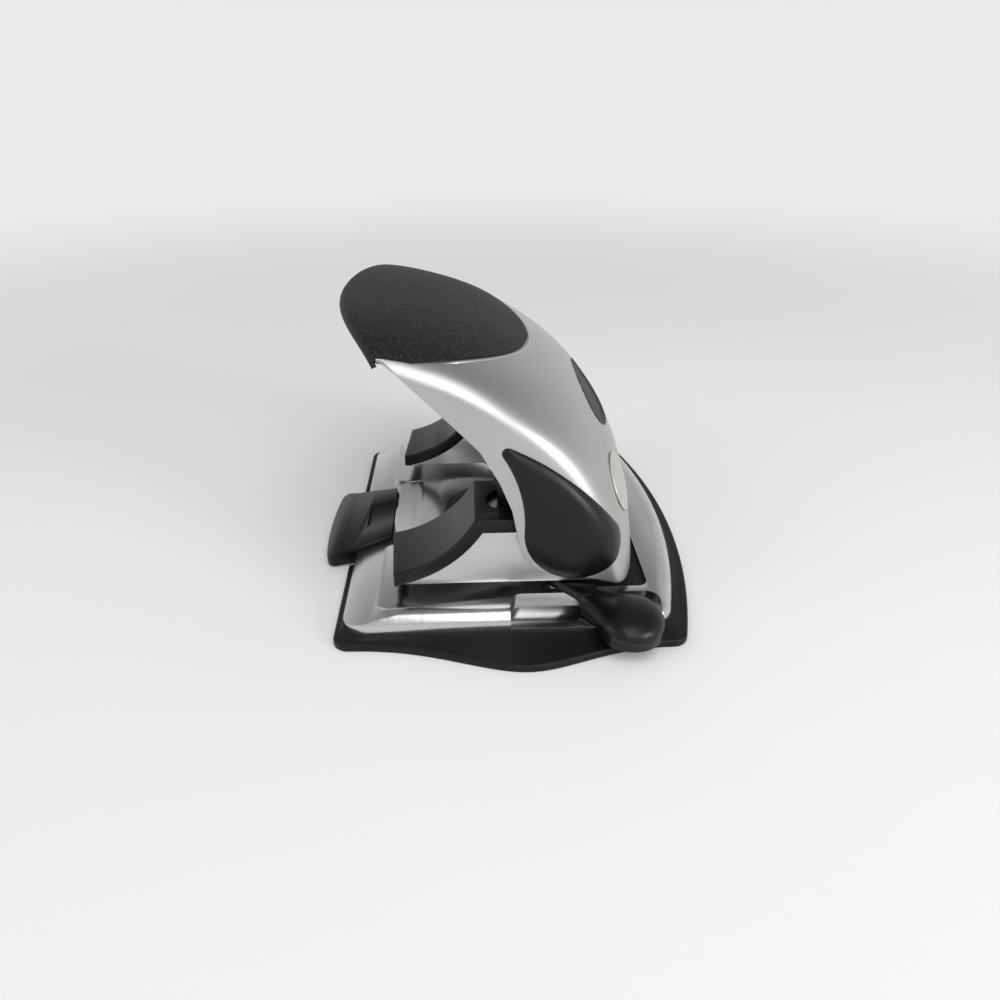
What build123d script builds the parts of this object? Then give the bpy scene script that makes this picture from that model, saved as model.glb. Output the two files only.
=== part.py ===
# Two-hole punch with a hooded handle, in millimetres.
# X runs from the left head to the right one, Y from the paper's side to the back, Z up.
# The origin lies on the table, midway between the two holes.

import os
from math import acos, asin, atan2, cos, degrees, hypot, pi, radians, sin, sqrt

from build123d import *

os.makedirs("parts", exist_ok=True)

# Punching
hole_spacing = 80.0
punch_diameter = 6.0
hole_margin = 12.0
throat = 4.2
running_clearance = 0.05
seat_clearance = 0.1
gap = 0.4

# Polished deck of the base
bed_height = 9.3
cover_bottom = 3.4
cover_wall = 1.2
cover_half_width = 62.3
cover_front = -49.8
cover_rear = 56.8
cover_rear_radius = 207.0
cover_corner = 8.0
cover_edge_radius = 4.8
ramp_end = -24.0
ramp_radius = 73.0
ramp_crest = 0.1
pad_half_width = 17.3
pad_front = -39.5
pad_depth = 22.0
pad_corner = 3.0
well_half_width = 49.3
well_front = 12.2
well_rear = 43.0
well_corner = 3.0
recess_wall = 52.0
recess_front = 0.0
recess_rear = 45.2
recess_floor = 4.4
recess_corner = 4.0

# Rubber skirt
skirt_half_front = 65.3
skirt_half_middle = 76.3
skirt_half_rear = 67.3
skirt_front = -52.3
skirt_middle = 6.0
skirt_rear = 61.5
skirt_rear_radius = 229.0
skirt_corner = 5.0
skirt_edge_height = 2.2
skirt_edge_radius = 0.9

# Black chassis plate, dies and the round inlay in the bed
plate_thickness = 2.0
plate_half_width = 50.2
plate_front = -21.0
plate_rear = 45.0
plate_corner = 4.0
die_diameter = 12.0
die_height = 4.1
ring_y = -1.0
ring_radius = 19.0
ring_width = 3.4
disc_sink = 0.3

# Chip tray and its front tab
tray_half_width = 45.8
tray_front = -43.8
tray_rear = 45.8
tray_floor_height = 0.6
tray_wall = 1.2
tray_height = 4.8
tray_hinge_y = 44.6
tray_hinge_z = 2.4
tray_pin_diameter = 2.0
tray_pin_length = 3.6
tray_rear_room = 1.4
tab_front = -61.5
tab_half_front = 22.6
tab_half_rear = 16.4
tab_rear = -38.3
tab_rear_height = 9.7
tab_lip_height = 2.6
tab_edge_radius = 1.2
tab_dish_radius = 24.0
tab_dish_depth = 1.3

# Heads: bracket of folded steel, moulded cap
sheet = 1.5
head_half_width = 12.5
head_front = -36.0
head_front_skew = 1.8
nose_top = 17.7
head_top = 35.6
nose_lead = 7.1
ramp_hollow_radius = 35.8
cap_rear = 5.0
cap_wall = 1.0
cap_skin = 2.2
cap_band = 4.0
cap_band_top = 2.0
cap_slot_half_width = 7.0
cap_slot_front = -6.4
bracket_top_rear = 6.0
bracket_rear = 27.0
bracket_ear_radius = 7.0
foot_half_reach = 11.4
guide_thickness = 2.0

# Pins, springs, hinge
pin_tip_sink = 0.4
pin_head_diameter = 8.6
pin_head_height = 2.0
pin_head_seat = 41.9
clip_diameter = 9.0
clip_thickness = 0.8
clip_groove = 0.6
spring_wire = 0.9
spring_radius = 4.0
spring_turns = 6
hinge_y = 18.0
hinge_z = 32.4
hinge_diameter = 6.0
hinge_half_length = 53.2
hinge_clip_diameter = 10.0

# Steel frame inside the handle
roller_diameter = 8.0
roller_width = 8.0
roller_y = 2.0
roller_lift = 0.3
roller_pin_diameter = 3.0
arm_thickness = 1.5
arm_width = 6.0
arm_boss_radius = 5.5
arm_tip_radius = 3.2
cross_start = 9.0
cross_end = 19.5
cross_thickness = 2.0
press_angle = 25.0
lug_reach = 18.5
lug_thickness = 2.5
lug_width = 2.6
boss_spread = 24.0
boss_diameter = 8.0
screw_diameter = 3.0
screw_head_diameter = 6.0
screw_head_height = 1.6
bracket_screw_head = 5.0

# Hood of the handle: a fan of sections about one line across the punch
fan_y = -14.0
fan_z = 14.0
hood_sections = (
    (-8.0, 55.6, 56.0, 9.6, 2.1),
    (15.0, 56.3, 56.0, 13.3, 2.1),
    (35.0, 58.9, 56.0, 15.3, 2.1),
    (55.0, 61.5, 56.0, 15.4, 2.2),
    (75.0, 65.0, 55.6, 14.1, 2.4),
    (95.0, 72.1, 53.0, 13.3, 2.7),
    (112.0, 81.1, 51.0, 12.9, 3.0),
    (126.0, 88.3, 50.0, 14.3, 3.2),
)
hood_wall = 2.0
hood_floor_radius = 18.0
hood_front_radius = 100.0
hood_front = -47.6
hood_corner_y = -33.0
hood_lip = 4.0
cheek_rim_radius = 15.9
grip_skin = 1.0
grip_proud = 0.6
grip_front_lip = 0.8
grip_half_width = 50.6
grip_root = -36.0
grip_tail = 8.3
insert_proud = 0.6
insert_skin = 0.8
insert_bulb_radius = 14.7
dish_angle = 43.5
dish_half_length = 8.5
dish_half_width = 25.0
dish_sink = 0.6
dish_skin = 1.2
badge_angle = 28.0
badge_side = 37.0
badge_radius = 9.0
badge_proud = 0.5

# Lock lever
lock_x = 47.0
lock_y = 14.6
lock_hub_radius = 2.4
lock_arm_lift = 0.4
lock_arm_height = 3.0
lock_reach_x = 18.5
lock_reach_y = 20.0
lock_bulb_radius = 9.5
lock_bulb_bottom = 4.8
lock_bulb_top = 10.4
lock_bulb_edge = 2.4
lock_waist = 3.2
lock_swing = 55.0
spindle_diameter = 4.0
post_diameter = 2.4
post_offset = 3.4
post_height = 4.6

# Worked-out places
head_x = hole_spacing / 2
head_bottom = bed_height + throat
plate_top = bed_height - cover_wall
plate_bottom = plate_top - plate_thickness
cheek_offset = head_half_width - cap_wall - seat_clearance
cheek_inside = cheek_offset - sheet
bracket_top = head_top - cap_skin - seat_clearance
roller_radius = roller_diameter / 2
roller_z = pin_head_seat + pin_head_height + roller_lift + roller_radius
arm_length = hypot(hinge_y - roller_y, roller_z - hinge_z)
arm_angle = atan2(roller_z - hinge_z, roller_y - hinge_y)
pin_stroke = arm_length * (sin(arm_angle) - sin(arm_angle + radians(press_angle)))
clip_top = bracket_top - sheet - seat_clearance
clip_bottom = clip_top - clip_thickness
spring_foot = head_bottom + guide_thickness
print(f"pin stroke {pin_stroke:.3f} mm over {press_angle} degrees, hinge ratio "
      f"{pin_stroke / radians(press_angle):.4f} mm per radian")


def keep(piece, name):
    """Label a finished piece and write it under its name."""
    piece.part.label = name
    export_step(piece.part, f"parts/{name}.step")


def foot_outline(half_front, half_middle, half_rear, front, middle, rear, rear_radius, corner):
    """Draw a foot's outline: straight front, swelling sides, bowed back, round corners."""
    rear_centre = rear - rear_radius
    reach = rear_radius - corner
    side_end = rear_centre + sqrt(reach**2 - (half_rear - corner) ** 2)
    bow = rear_radius / reach
    bow_x = (half_rear - corner) * bow
    bow_y = rear_centre + (side_end - rear_centre) * bow
    up = (0, 1)
    down = (0, -1)
    Line((corner - half_front, front), (half_front - corner, front))
    TangentArc((half_front - corner, front), (half_front, front + corner), tangent=(1, 0))
    Spline((half_front, front + corner), (half_middle, middle), (half_rear, side_end), tangents=(up, up))
    TangentArc((half_rear, side_end), (bow_x, bow_y), tangent=up)
    ThreePointArc((bow_x, bow_y), (0, rear), (-bow_x, bow_y))
    TangentArc((-half_rear, side_end), (-bow_x, bow_y), tangent=up)
    Spline((-half_rear, side_end), (-half_middle, middle), (-half_front, front + corner), tangents=(down, down))
    TangentArc((-half_front, front + corner), (corner - half_front, front), tangent=down)


def deck_block(inset):
    """The deck's outer block, or with an inset the hollow below it."""
    half = cover_half_width - inset
    foot = cover_bottom - inset
    crest = ramp_radius - inset
    crest_z = bed_height + ramp_crest - ramp_radius
    toe = cover_front - cover_corner
    toe_z = crest_z + sqrt(crest**2 - (toe - ramp_end) ** 2)
    middle_y = (toe + ramp_end) / 2
    middle_z = crest_z + sqrt(crest**2 - (middle_y - ramp_end) ** 2)
    with BuildPart() as block:
        with BuildSketch(Plane.XY.offset(foot)):
            with BuildLine():
                foot_outline(half, half, half, cover_front + inset, 0, cover_rear - inset,
                             cover_rear_radius - inset, cover_corner - inset)
            make_face()
        extrude(amount=bed_height - inset - foot)
        fillet(block.faces().sort_by(Axis.Z)[-1].edges(), cover_edge_radius - inset)
        with BuildSketch(Plane.YZ):
            with BuildLine():
                Polyline((ramp_end, crest_z + crest), (ramp_end, 2 * bed_height), (toe, 2 * bed_height), (toe, toe_z))
                ThreePointArc((toe, toe_z), (middle_y, middle_z), (ramp_end, crest_z + crest))
            make_face()
        extrude(amount=2 * cover_half_width, both=True, mode=Mode.SUBTRACT)
    return block.part


def lock_recess(grow):
    """The hollow in the right flank that the lock lever swings in."""
    length = recess_rear - recess_front + 2 * grow
    depth = 2 * (cover_half_width - recess_wall + grow)
    with BuildPart() as hollow:
        with BuildSketch(Plane.XY.offset(recess_floor - grow)):
            with Locations((recess_wall - grow + depth / 2, (recess_front + recess_rear) / 2)):
                RectangleRounded(depth, length, recess_corner)
        extrude(amount=2 * bed_height)
    return hollow.part


def tab_half_width(y, clear):
    """Half width of the front tab at y, wider towards the paper's side."""
    slope = (tab_half_front - tab_half_rear) / (tab_rear - tab_front)
    return tab_half_rear + slope * (tab_rear - y) + clear


# Screw bosses under the deck, and the screws in them, share these places.
base_screw_places = [(-54.0, -38.0), (54.0, -38.0), (-30.0, 49.9), (30.0, 49.9)]
base_screw_diameter = 2.4
base_boss_radius = 2.4

deck_outer = deck_block(0)
deck_hollow = deck_block(cover_wall)
recess_outer = lock_recess(0)
recess_back = lock_recess(cover_wall)

# Base cover: polished shell with pads under the heads, a well behind them and a notch for the tab
with BuildPart() as base_cover:
    add(deck_outer)
    add(recess_outer, mode=Mode.SUBTRACT)
    with BuildSketch(Plane.XY.offset(cover_bottom + cover_wall)):
        with Locations((-head_x, pad_front + pad_depth / 2), (head_x, pad_front + pad_depth / 2)):
            RectangleRounded(2 * pad_half_width, pad_depth, pad_corner)
    extrude(amount=bed_height - cover_bottom - cover_wall)
    with BuildPart(mode=Mode.PRIVATE) as hollow:
        add(deck_hollow)
        add(recess_back, mode=Mode.SUBTRACT)
        with BuildSketch(Plane.XY.offset(cover_bottom)):
            with Locations(*base_screw_places):
                Circle(base_boss_radius)
        extrude(amount=bed_height, mode=Mode.SUBTRACT)
    add(hollow.part, mode=Mode.SUBTRACT)
    with BuildSketch(Plane.XY):
        with Locations((0, (well_front + well_rear) / 2)):
            RectangleRounded(2 * well_half_width, well_rear - well_front, well_corner)
        with Locations((0, ring_y)):
            Circle(ring_radius + seat_clearance)
        with Locations((-head_x, 0), (head_x, 0)):
            Circle(die_diameter / 2 + seat_clearance)
        with BuildLine():
            notch_front = cover_front - cover_corner
            notch_rear = tab_rear + gap
            notch_wide = tab_half_width(notch_front, gap)
            notch_narrow = tab_half_width(notch_rear, gap)
            Polyline((-notch_wide, notch_front), (notch_wide, notch_front), (notch_narrow, notch_rear),
                     (-notch_narrow, notch_rear), (-notch_wide, notch_front))
        make_face()
    extrude(amount=2 * bed_height, mode=Mode.SUBTRACT)
    with BuildSketch(Plane.XY.offset(cover_bottom)):
        with Locations(*base_screw_places):
            Circle(base_screw_diameter / 2 + running_clearance)
    extrude(amount=cover_wall + 1, mode=Mode.SUBTRACT)
keep(base_cover, "base_cover")

# Base skirt: rubber apron under the deck, open in the middle for the chip tray
skirt_opening_half = tray_half_width + gap
skirt_opening_front = tray_front - gap
skirt_opening_rear = tray_rear + tray_rear_room
with BuildPart() as base_skirt:
    with BuildSketch():
        with BuildLine():
            foot_outline(skirt_half_front, skirt_half_middle, skirt_half_rear, skirt_front, skirt_middle,
                         skirt_rear, skirt_rear_radius, skirt_corner)
        make_face()
    extrude(amount=skirt_edge_height)
    fillet(base_skirt.faces().sort_by(Axis.Z)[-1].edges(), skirt_edge_radius)
    with BuildSketch(Plane.XY.offset(skirt_edge_height - skirt_edge_radius)):
        with BuildLine():
            foot_outline(skirt_half_front - 0.6, skirt_half_middle - 1.2, skirt_half_rear - 0.6, skirt_front + 0.6,
                         skirt_middle, skirt_rear - 1.0, skirt_rear_radius, skirt_corner)
        make_face()
    with BuildSketch(Plane.XY.offset(cover_bottom)):
        with BuildLine():
            foot_outline(cover_half_width, cover_half_width, cover_half_width, cover_front, 0, cover_rear,
                         cover_rear_radius, cover_corner)
        make_face()
    loft(ruled=True)
    with BuildSketch():
        with Locations((0, (skirt_opening_front + skirt_opening_rear) / 2)):
            Rectangle(2 * skirt_opening_half, skirt_opening_rear - skirt_opening_front)
        with Locations((0, skirt_front)):
            Rectangle(2 * (tab_half_front + 2 * gap), 2 * (skirt_opening_front - skirt_front) + 1)
    extrude(amount=bed_height, mode=Mode.SUBTRACT)
    with BuildSketch():
        with Locations(*base_screw_places):
            Circle(screw_head_diameter / 2)
    extrude(amount=screw_head_height, mode=Mode.SUBTRACT)
    with BuildSketch():
        with Locations(*base_screw_places):
            Circle(base_screw_diameter / 2 + running_clearance)
    extrude(amount=bed_height, mode=Mode.SUBTRACT)
    with Locations((0, tray_hinge_y, tray_hinge_z)):
        Cylinder(tray_pin_diameter / 2 + running_clearance, 2 * (tray_half_width + tray_pin_length), rotation=(0, 90, 0),
                 mode=Mode.SUBTRACT)
keep(base_skirt, "base_skirt")

# Base screws: four, up through the skirt into the deck's bosses
with BuildPart() as base_screws:
    with BuildSketch(Plane.XY.offset(seat_clearance)):
        with Locations(*base_screw_places):
            Circle(screw_head_diameter / 2 - seat_clearance)
    extrude(amount=screw_head_height - seat_clearance)
    with BuildSketch(Plane.XY.offset(seat_clearance)):
        with Locations(*base_screw_places):
            Circle(base_screw_diameter / 2)
    extrude(amount=cover_bottom + cover_wall)
    with BuildSketch(Plane.XY):
        with Locations(*base_screw_places):
            Rectangle(0.8, 3.2)
            Rectangle(3.2, 0.8)
    extrude(amount=0.9, mode=Mode.SUBTRACT)
keep(base_screws, "base_screws")

# Base plate: black steel chassis under the deck, seen in the well
spindle_hole = spindle_diameter / 2 + running_clearance
bracket_screw_places = [(4.7, 5.4), (8.3, 10.2)]
with BuildPart() as base_plate:
    with BuildSketch(Plane.XY.offset(plate_bottom)):
        with Locations((0, (plate_front + plate_rear) / 2)):
            RectangleRounded(2 * plate_half_width, plate_rear - plate_front, plate_corner)
        with Locations((-head_x, 0), (head_x, 0)):
            Circle(die_diameter / 2 + running_clearance, mode=Mode.SUBTRACT)
        with Locations((lock_x, lock_y)):
            Circle(spindle_hole, mode=Mode.SUBTRACT)
        for side in (-1, 1):
            for across, back in bracket_screw_places:
                with Locations((side * (head_x - cheek_offset + across), hole_margin + back)):
                    Circle(screw_diameter / 2 + running_clearance, mode=Mode.SUBTRACT)
    extrude(amount=plate_thickness)
keep(base_plate, "base_plate")

# Centre ring and disc: round inlay in the bed between the heads
with BuildPart() as centre_ring:
    with BuildSketch(Plane.XY.offset(plate_top)):
        with Locations((0, ring_y)):
            Circle(ring_radius)
            Circle(ring_radius - ring_width, mode=Mode.SUBTRACT)
    extrude(amount=bed_height - plate_top)
    chamfer(centre_ring.faces().sort_by(Axis.Z)[-1].edges(), 0.2)
keep(centre_ring, "centre_ring")

with BuildPart() as centre_disc:
    with BuildSketch(Plane.XY.offset(plate_top)):
        with Locations((0, ring_y)):
            Circle(ring_radius - ring_width - seat_clearance)
    extrude(amount=bed_height - plate_top - disc_sink)
keep(centre_disc, "centre_disc")

# Chip tray: open pan that swings down about its rear edge
with BuildPart() as chip_tray:
    with BuildSketch(Plane.XY.offset(tray_floor_height)):
        with Locations((0, (tray_front + tray_rear) / 2)):
            Rectangle(2 * tray_half_width, tray_rear - tray_front)
    extrude(amount=tray_height - tray_floor_height)
    with BuildSketch(Plane.XY.offset(tray_floor_height + tray_wall)):
        with Locations((0, (tray_front + tray_rear) / 2)):
            RectangleRounded(2 * (tray_half_width - tray_wall), tray_rear - tray_front - 2 * tray_wall, 2.0)
    extrude(amount=tray_height, mode=Mode.SUBTRACT)
    with Locations((0, tray_hinge_y, tray_hinge_z)):
        Cylinder(tray_pin_diameter / 2 + running_clearance, 3 * tray_half_width, rotation=(0, 90, 0), mode=Mode.SUBTRACT)
keep(chip_tray, "chip_tray")

# Tray hinge pins: two stubs held in the skirt
with BuildPart() as tray_hinge_pins:
    for side in (-1, 1):
        with Locations((side * (tray_half_width - tray_wall + tray_pin_length / 2), tray_hinge_y, tray_hinge_z)):
            Cylinder(tray_pin_diameter / 2, tray_pin_length, rotation=(0, 90, 0))
keep(tray_hinge_pins, "tray_hinge_pins")

# Tray tab: front tab with a thumb dish, fixed to the tray's front wall
tab_seat = tray_front - 0.05
with BuildPart() as tray_tab:
    with BuildSketch(Plane.YZ):
        with BuildLine():
            Polyline((tab_rear, tab_rear_height), (tab_rear, tray_height + gap), (tab_seat, tray_height + gap),
                     (tab_seat, tray_floor_height), (tab_front, tray_floor_height), (tab_front, tab_lip_height))
            ThreePointArc((tab_front, tab_lip_height), (tab_front + 3.2, tab_lip_height + 2.0),
                          (tab_front + 7.6, tab_lip_height + 3.0))
            Spline((tab_front + 7.6, tab_lip_height + 3.0), (tab_front + 15.5, tab_lip_height + 5.2),
                   (tab_rear, tab_rear_height))
        make_face()
    extrude(amount=2 * tab_half_front, both=True)
    with BuildSketch(Plane.XY):
        with BuildLine():
            side_front = tab_front + 2.0
            narrow = tab_half_width(tab_rear, 0)
            wide = tab_half_width(side_front, 0)
            Polyline((wide, side_front), (narrow, tab_rear), (-narrow, tab_rear), (-wide, side_front))
            ThreePointArc((-wide, side_front), (0, tab_front), (wide, side_front))
        make_face()
    extrude(amount=2 * bed_height, mode=Mode.INTERSECT)
    fillet(tray_tab.edges().filter_by(Axis.Z).group_by(Axis.Y)[0], 2.4)
    dish_z = tab_rear_height + tab_dish_radius - tab_dish_depth
    with Locations(Location((0, tab_rear - 1.0, dish_z + 0.3), (-76, 0, 0))):
        Cylinder(tab_dish_radius, 28.0, mode=Mode.SUBTRACT)
keep(tray_tab, "tray_tab")

# Each head has a bracket, a cap, a guide plate, a pin with its clip and spring, and a die.
hollow_y = head_front + head_front_skew - nose_lead
hollow_z = nose_top + sqrt(ramp_hollow_radius**2 - nose_lead**2)


def hollow_height(y, grow):
    """Height of the head's concave ramp at y, lowered by grow."""
    return hollow_z - sqrt((ramp_hollow_radius + grow) ** 2 - (y - hollow_y) ** 2)


def hollow_depth(z, grow):
    """Where the concave ramp, lowered by grow, reaches height z."""
    return hollow_y + sqrt((ramp_hollow_radius + grow) ** 2 - (z - hollow_z) ** 2)


def head_profile(front, bottom, top, rear, grow):
    """Draw a head's side profile: low nose, concave ramp, level top."""
    crest = hollow_depth(top, grow)
    middle = (front + crest) / 2
    ThreePointArc((front, hollow_height(front, grow)), (middle, hollow_height(middle, grow)), (crest, top))
    Polyline((crest, top), (rear, top), (rear, bottom), (front, bottom), (front, hollow_height(front, grow)))


# Head brackets: folded steel with two cheeks, a top web, a rear web and one foot on the chassis
bracket_front = head_front + head_front_skew + cap_wall + 1.0
bracket_grow = cap_skin + 2 * seat_clearance
inner_cheek = head_x - cheek_offset
outer_cheek = head_x + cheek_inside
foot_front = well_front + 3 * seat_clearance
pin_bore = punch_diameter / 2 + running_clearance
with BuildPart() as head_bracket_right:
    for cheek in (inner_cheek, outer_cheek):
        with BuildSketch(Plane.YZ.offset(cheek)):
            with BuildLine():
                head_profile(bracket_front, head_bottom, bracket_top, bracket_top_rear, bracket_grow)
            make_face()
            with BuildLine():
                Polyline((bracket_top_rear - 1, head_bottom), (bracket_rear, head_bottom), (bracket_rear, hinge_z - 5),
                         (hinge_y + bracket_ear_radius, hinge_z), (bracket_top_rear - 1, hinge_z),
                         (bracket_top_rear - 1, head_bottom))
            make_face()
            with Locations((hinge_y, hinge_z)):
                Circle(bracket_ear_radius)
        extrude(amount=sheet)
    with BuildSketch(Plane.YZ.offset(inner_cheek)):
        with Locations(((foot_front + bracket_rear) / 2, (plate_top + head_bottom) / 2)):
            Rectangle(bracket_rear - foot_front, head_bottom - plate_top + 1)
    extrude(amount=sheet)
    web_front = hollow_depth(bracket_top, bracket_grow)
    with BuildSketch(Plane.XY.offset(bracket_top - sheet)):
        with Locations((head_x, (web_front + bracket_top_rear) / 2)):
            Rectangle(2 * cheek_inside + sheet, bracket_top_rear - web_front)
    extrude(amount=sheet)
    with BuildSketch(Plane.XZ.offset(-bracket_rear)):
        with Locations((head_x, (head_bottom + hinge_z - 7) / 2)):
            Rectangle(2 * cheek_inside + sheet, hinge_z - 7 - head_bottom)
        with Locations((inner_cheek + foot_half_reach / 2, (plate_top + head_bottom) / 2)):
            Rectangle(foot_half_reach, head_bottom - plate_top + 1)
    extrude(amount=sheet)
    with BuildSketch(Plane.XY.offset(plate_top)):
        with Locations((inner_cheek + foot_half_reach / 2, (foot_front + bracket_rear) / 2)):
            Rectangle(foot_half_reach, bracket_rear - foot_front)
    extrude(amount=sheet)
    with BuildSketch(Plane.XY):
        with Locations((0, 0)):
            Rectangle(8 * hole_spacing, 8 * hole_spacing)
    extrude(amount=plate_top, mode=Mode.SUBTRACT)
    with Locations((head_x, hinge_y, hinge_z)):
        Cylinder(hinge_diameter / 2 + running_clearance, 4 * head_half_width, rotation=(0, 90, 0), mode=Mode.SUBTRACT)
    with BuildSketch(Plane.XY.offset(bracket_top - 2 * sheet)):
        with Locations((head_x, 0)):
            Circle(pin_bore)
    extrude(amount=4 * sheet, mode=Mode.SUBTRACT)
    with BuildSketch(Plane.XY.offset(plate_top)):
        for across, back in bracket_screw_places:
            with Locations((inner_cheek + across, hole_margin + back)):
                Circle(screw_diameter / 2 + running_clearance)
    extrude(amount=2 * sheet, mode=Mode.SUBTRACT)
keep(head_bracket_right, "head_bracket_right")

with BuildPart() as head_bracket_left:
    mirror(head_bracket_right.part, about=Plane.YZ)
keep(head_bracket_left, "head_bracket_left")

# Bracket screws: two through each foot into the chassis plate
with BuildPart() as bracket_screws:
    for side in (-1, 1):
        for across, back in bracket_screw_places:
            with Locations((side * (inner_cheek + across), hole_margin + back, plate_bottom)):
                Cylinder(screw_diameter / 2, plate_thickness + sheet + 0.5, align=(Align.CENTER, Align.CENTER, Align.MIN))
            with Locations((side * (inner_cheek + across), hole_margin + back, plate_top + sheet)):
                Cylinder(bracket_screw_head / 2, screw_head_height, align=(Align.CENTER, Align.CENTER, Align.MIN))
    fillet(bracket_screws.faces().filter_by(Axis.Z).group_by(Axis.Z)[-1].edges(), 0.7)
    for side in (-1, 1):
        for across, back in bracket_screw_places:
            with Locations((side * (inner_cheek + across), hole_margin + back, plate_top + sheet + screw_head_height)):
                Box(3.4, 0.8, 1.6, mode=Mode.SUBTRACT)
                Box(0.8, 3.4, 1.6, mode=Mode.SUBTRACT)
keep(bracket_screws, "bracket_screws")

# Head caps: black mouldings with a concave ramp, open below and slotted for the pin's head
with BuildPart() as head_cap_right:
    with BuildSketch(Plane.YZ.offset(head_x - head_half_width)):
        with BuildLine():
            head_profile(head_front, head_bottom, head_top, cap_rear, 0)
        make_face()
    extrude(amount=2 * head_half_width)
    with BuildSketch(Plane.XY):
        with BuildLine():
            left = head_x - head_half_width
            right = head_x + head_half_width
            Polyline((left, head_front), (right, head_front + head_front_skew), (right, head_front - 1),
                     (left, head_front - 1), (left, head_front))
        make_face()
    extrude(amount=2 * head_top, mode=Mode.SUBTRACT)
    rims = head_cap_right.edges().filter_by(lambda e: abs(abs(e.center().X - head_x) - head_half_width) < 0.01)
    fillet(rims.filter_by(lambda e: e.center().Z > head_bottom + 0.1 and e.center().Y < cap_rear - 0.1), 0.7)
    with BuildSketch(Plane.YZ.offset(head_x - head_half_width + cap_wall)):
        with BuildLine():
            head_profile(head_front + head_front_skew + cap_wall, head_bottom - 1, head_top - cap_skin, cap_rear + 1, cap_skin)
        make_face()
    extrude(amount=2 * (head_half_width - cap_wall), mode=Mode.SUBTRACT)
    with BuildSketch(Plane.YZ.offset(head_x - head_half_width - 1)):
        with BuildLine():
            head_profile(head_front + head_front_skew + cap_wall, head_bottom - 1, head_top - cap_band_top - cap_skin,
                         cap_rear + 1, cap_band)
        make_face()
    extrude(amount=2 * head_half_width + 2, mode=Mode.SUBTRACT)
    with BuildSketch(Plane.XY):
        with Locations((head_x, cap_slot_front + cap_slot_half_width)):
            Circle(cap_slot_half_width)
        with Locations((head_x, cap_slot_front + cap_slot_half_width + cap_rear)):
            Rectangle(2 * cap_slot_half_width, 2 * cap_rear)
    extrude(amount=2 * head_top, mode=Mode.SUBTRACT)
keep(head_cap_right, "head_cap_right")

with BuildPart() as head_cap_left:
    mirror(head_cap_right.part, about=Plane.YZ)
keep(head_cap_left, "head_cap_left")

# Guide plates: the throat's roof, with the lower bore for each pin
with BuildPart() as guide_plate_right:
    with BuildSketch(Plane.XY.offset(head_bottom)):
        with Locations((head_x, (bracket_front + 1 + hole_margin) / 2)):
            Rectangle(2 * cheek_inside, hole_margin - bracket_front - 1)
        with Locations((head_x, 0)):
            Circle(pin_bore, mode=Mode.SUBTRACT)
    extrude(amount=guide_thickness)
    chamfer(guide_plate_right.edges().filter_by(Axis.X).group_by(Axis.Y)[0].group_by(Axis.Z)[0], 0.8)
    with BuildSketch(Plane.YZ.offset(head_x - cheek_inside)):
        with BuildLine():
            front = bracket_front - 1
            Polyline((front, hollow_height(front, bracket_grow)), (front, head_top), (front + 8, head_top),
                     (front + 8, hollow_height(front + 8, bracket_grow)), (front, hollow_height(front, bracket_grow)))
        make_face()
    extrude(amount=2 * cheek_inside, mode=Mode.SUBTRACT)
keep(guide_plate_right, "guide_plate_right")

with BuildPart() as guide_plate_left:
    mirror(guide_plate_right.part, about=Plane.YZ)
keep(guide_plate_left, "guide_plate_left")

# Dies: hardened bushes flush with the deck
with BuildPart() as die_right:
    with BuildSketch(Plane.XY.offset(bed_height - die_height)):
        with Locations((head_x, 0)):
            Circle(die_diameter / 2)
            Circle(pin_bore, mode=Mode.SUBTRACT)
    extrude(amount=die_height)
    chamfer(die_right.edges().filter_by(GeomType.CIRCLE).group_by(Axis.Z)[0].sort_by(SortBy.RADIUS)[0], 0.5)
keep(die_right, "die_right")

with BuildPart() as die_left:
    mirror(die_right.part, about=Plane.YZ)
keep(die_left, "die_left")

# Punch pins: cutters with a head for the roller, a clip groove and a hollowed cutting end
pin_tip = head_bottom + pin_tip_sink
with BuildPart() as punch_pin_right:
    with BuildSketch(Plane.XY.offset(pin_tip)):
        with Locations((head_x, 0)):
            Circle(punch_diameter / 2)
    extrude(amount=pin_head_seat - pin_tip)
    with BuildSketch(Plane.XY.offset(pin_head_seat)):
        with Locations((head_x, 0)):
            Circle(pin_head_diameter / 2)
    extrude(amount=pin_head_height)
    chamfer(punch_pin_right.faces().sort_by(Axis.Z)[-1].edges(), 0.4)
    with BuildSketch(Plane.XY.offset(clip_bottom)):
        with Locations((head_x, 0)):
            Circle(punch_diameter / 2 + 1)
            Circle(punch_diameter / 2 - clip_groove, mode=Mode.SUBTRACT)
    extrude(amount=clip_thickness, mode=Mode.SUBTRACT)
    with Locations((head_x, 0, pin_tip - 3.2)):
        Cylinder(4.0, 2 * punch_diameter, rotation=(90, 0, 0), mode=Mode.SUBTRACT)
keep(punch_pin_right, "punch_pin_right")

with BuildPart() as punch_pin_left:
    mirror(punch_pin_right.part, about=Plane.YZ)
keep(punch_pin_left, "punch_pin_left")

# Pin clips: rings in the pins' grooves that take the springs' thrust
with BuildPart() as pin_clip_right:
    with BuildSketch(Plane.XY.offset(clip_bottom + 0.02)):
        with Locations((head_x, 0)):
            Circle(clip_diameter / 2)
            Circle(punch_diameter / 2 - clip_groove + 0.02, mode=Mode.SUBTRACT)
        with Locations((head_x, clip_diameter / 2)):
            Rectangle(1.6, clip_diameter, mode=Mode.SUBTRACT)
    extrude(amount=clip_thickness - 0.04)
keep(pin_clip_right, "pin_clip_right")

with BuildPart() as pin_clip_left:
    mirror(pin_clip_right.part, about=Plane.YZ)
keep(pin_clip_left, "pin_clip_left")

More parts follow.
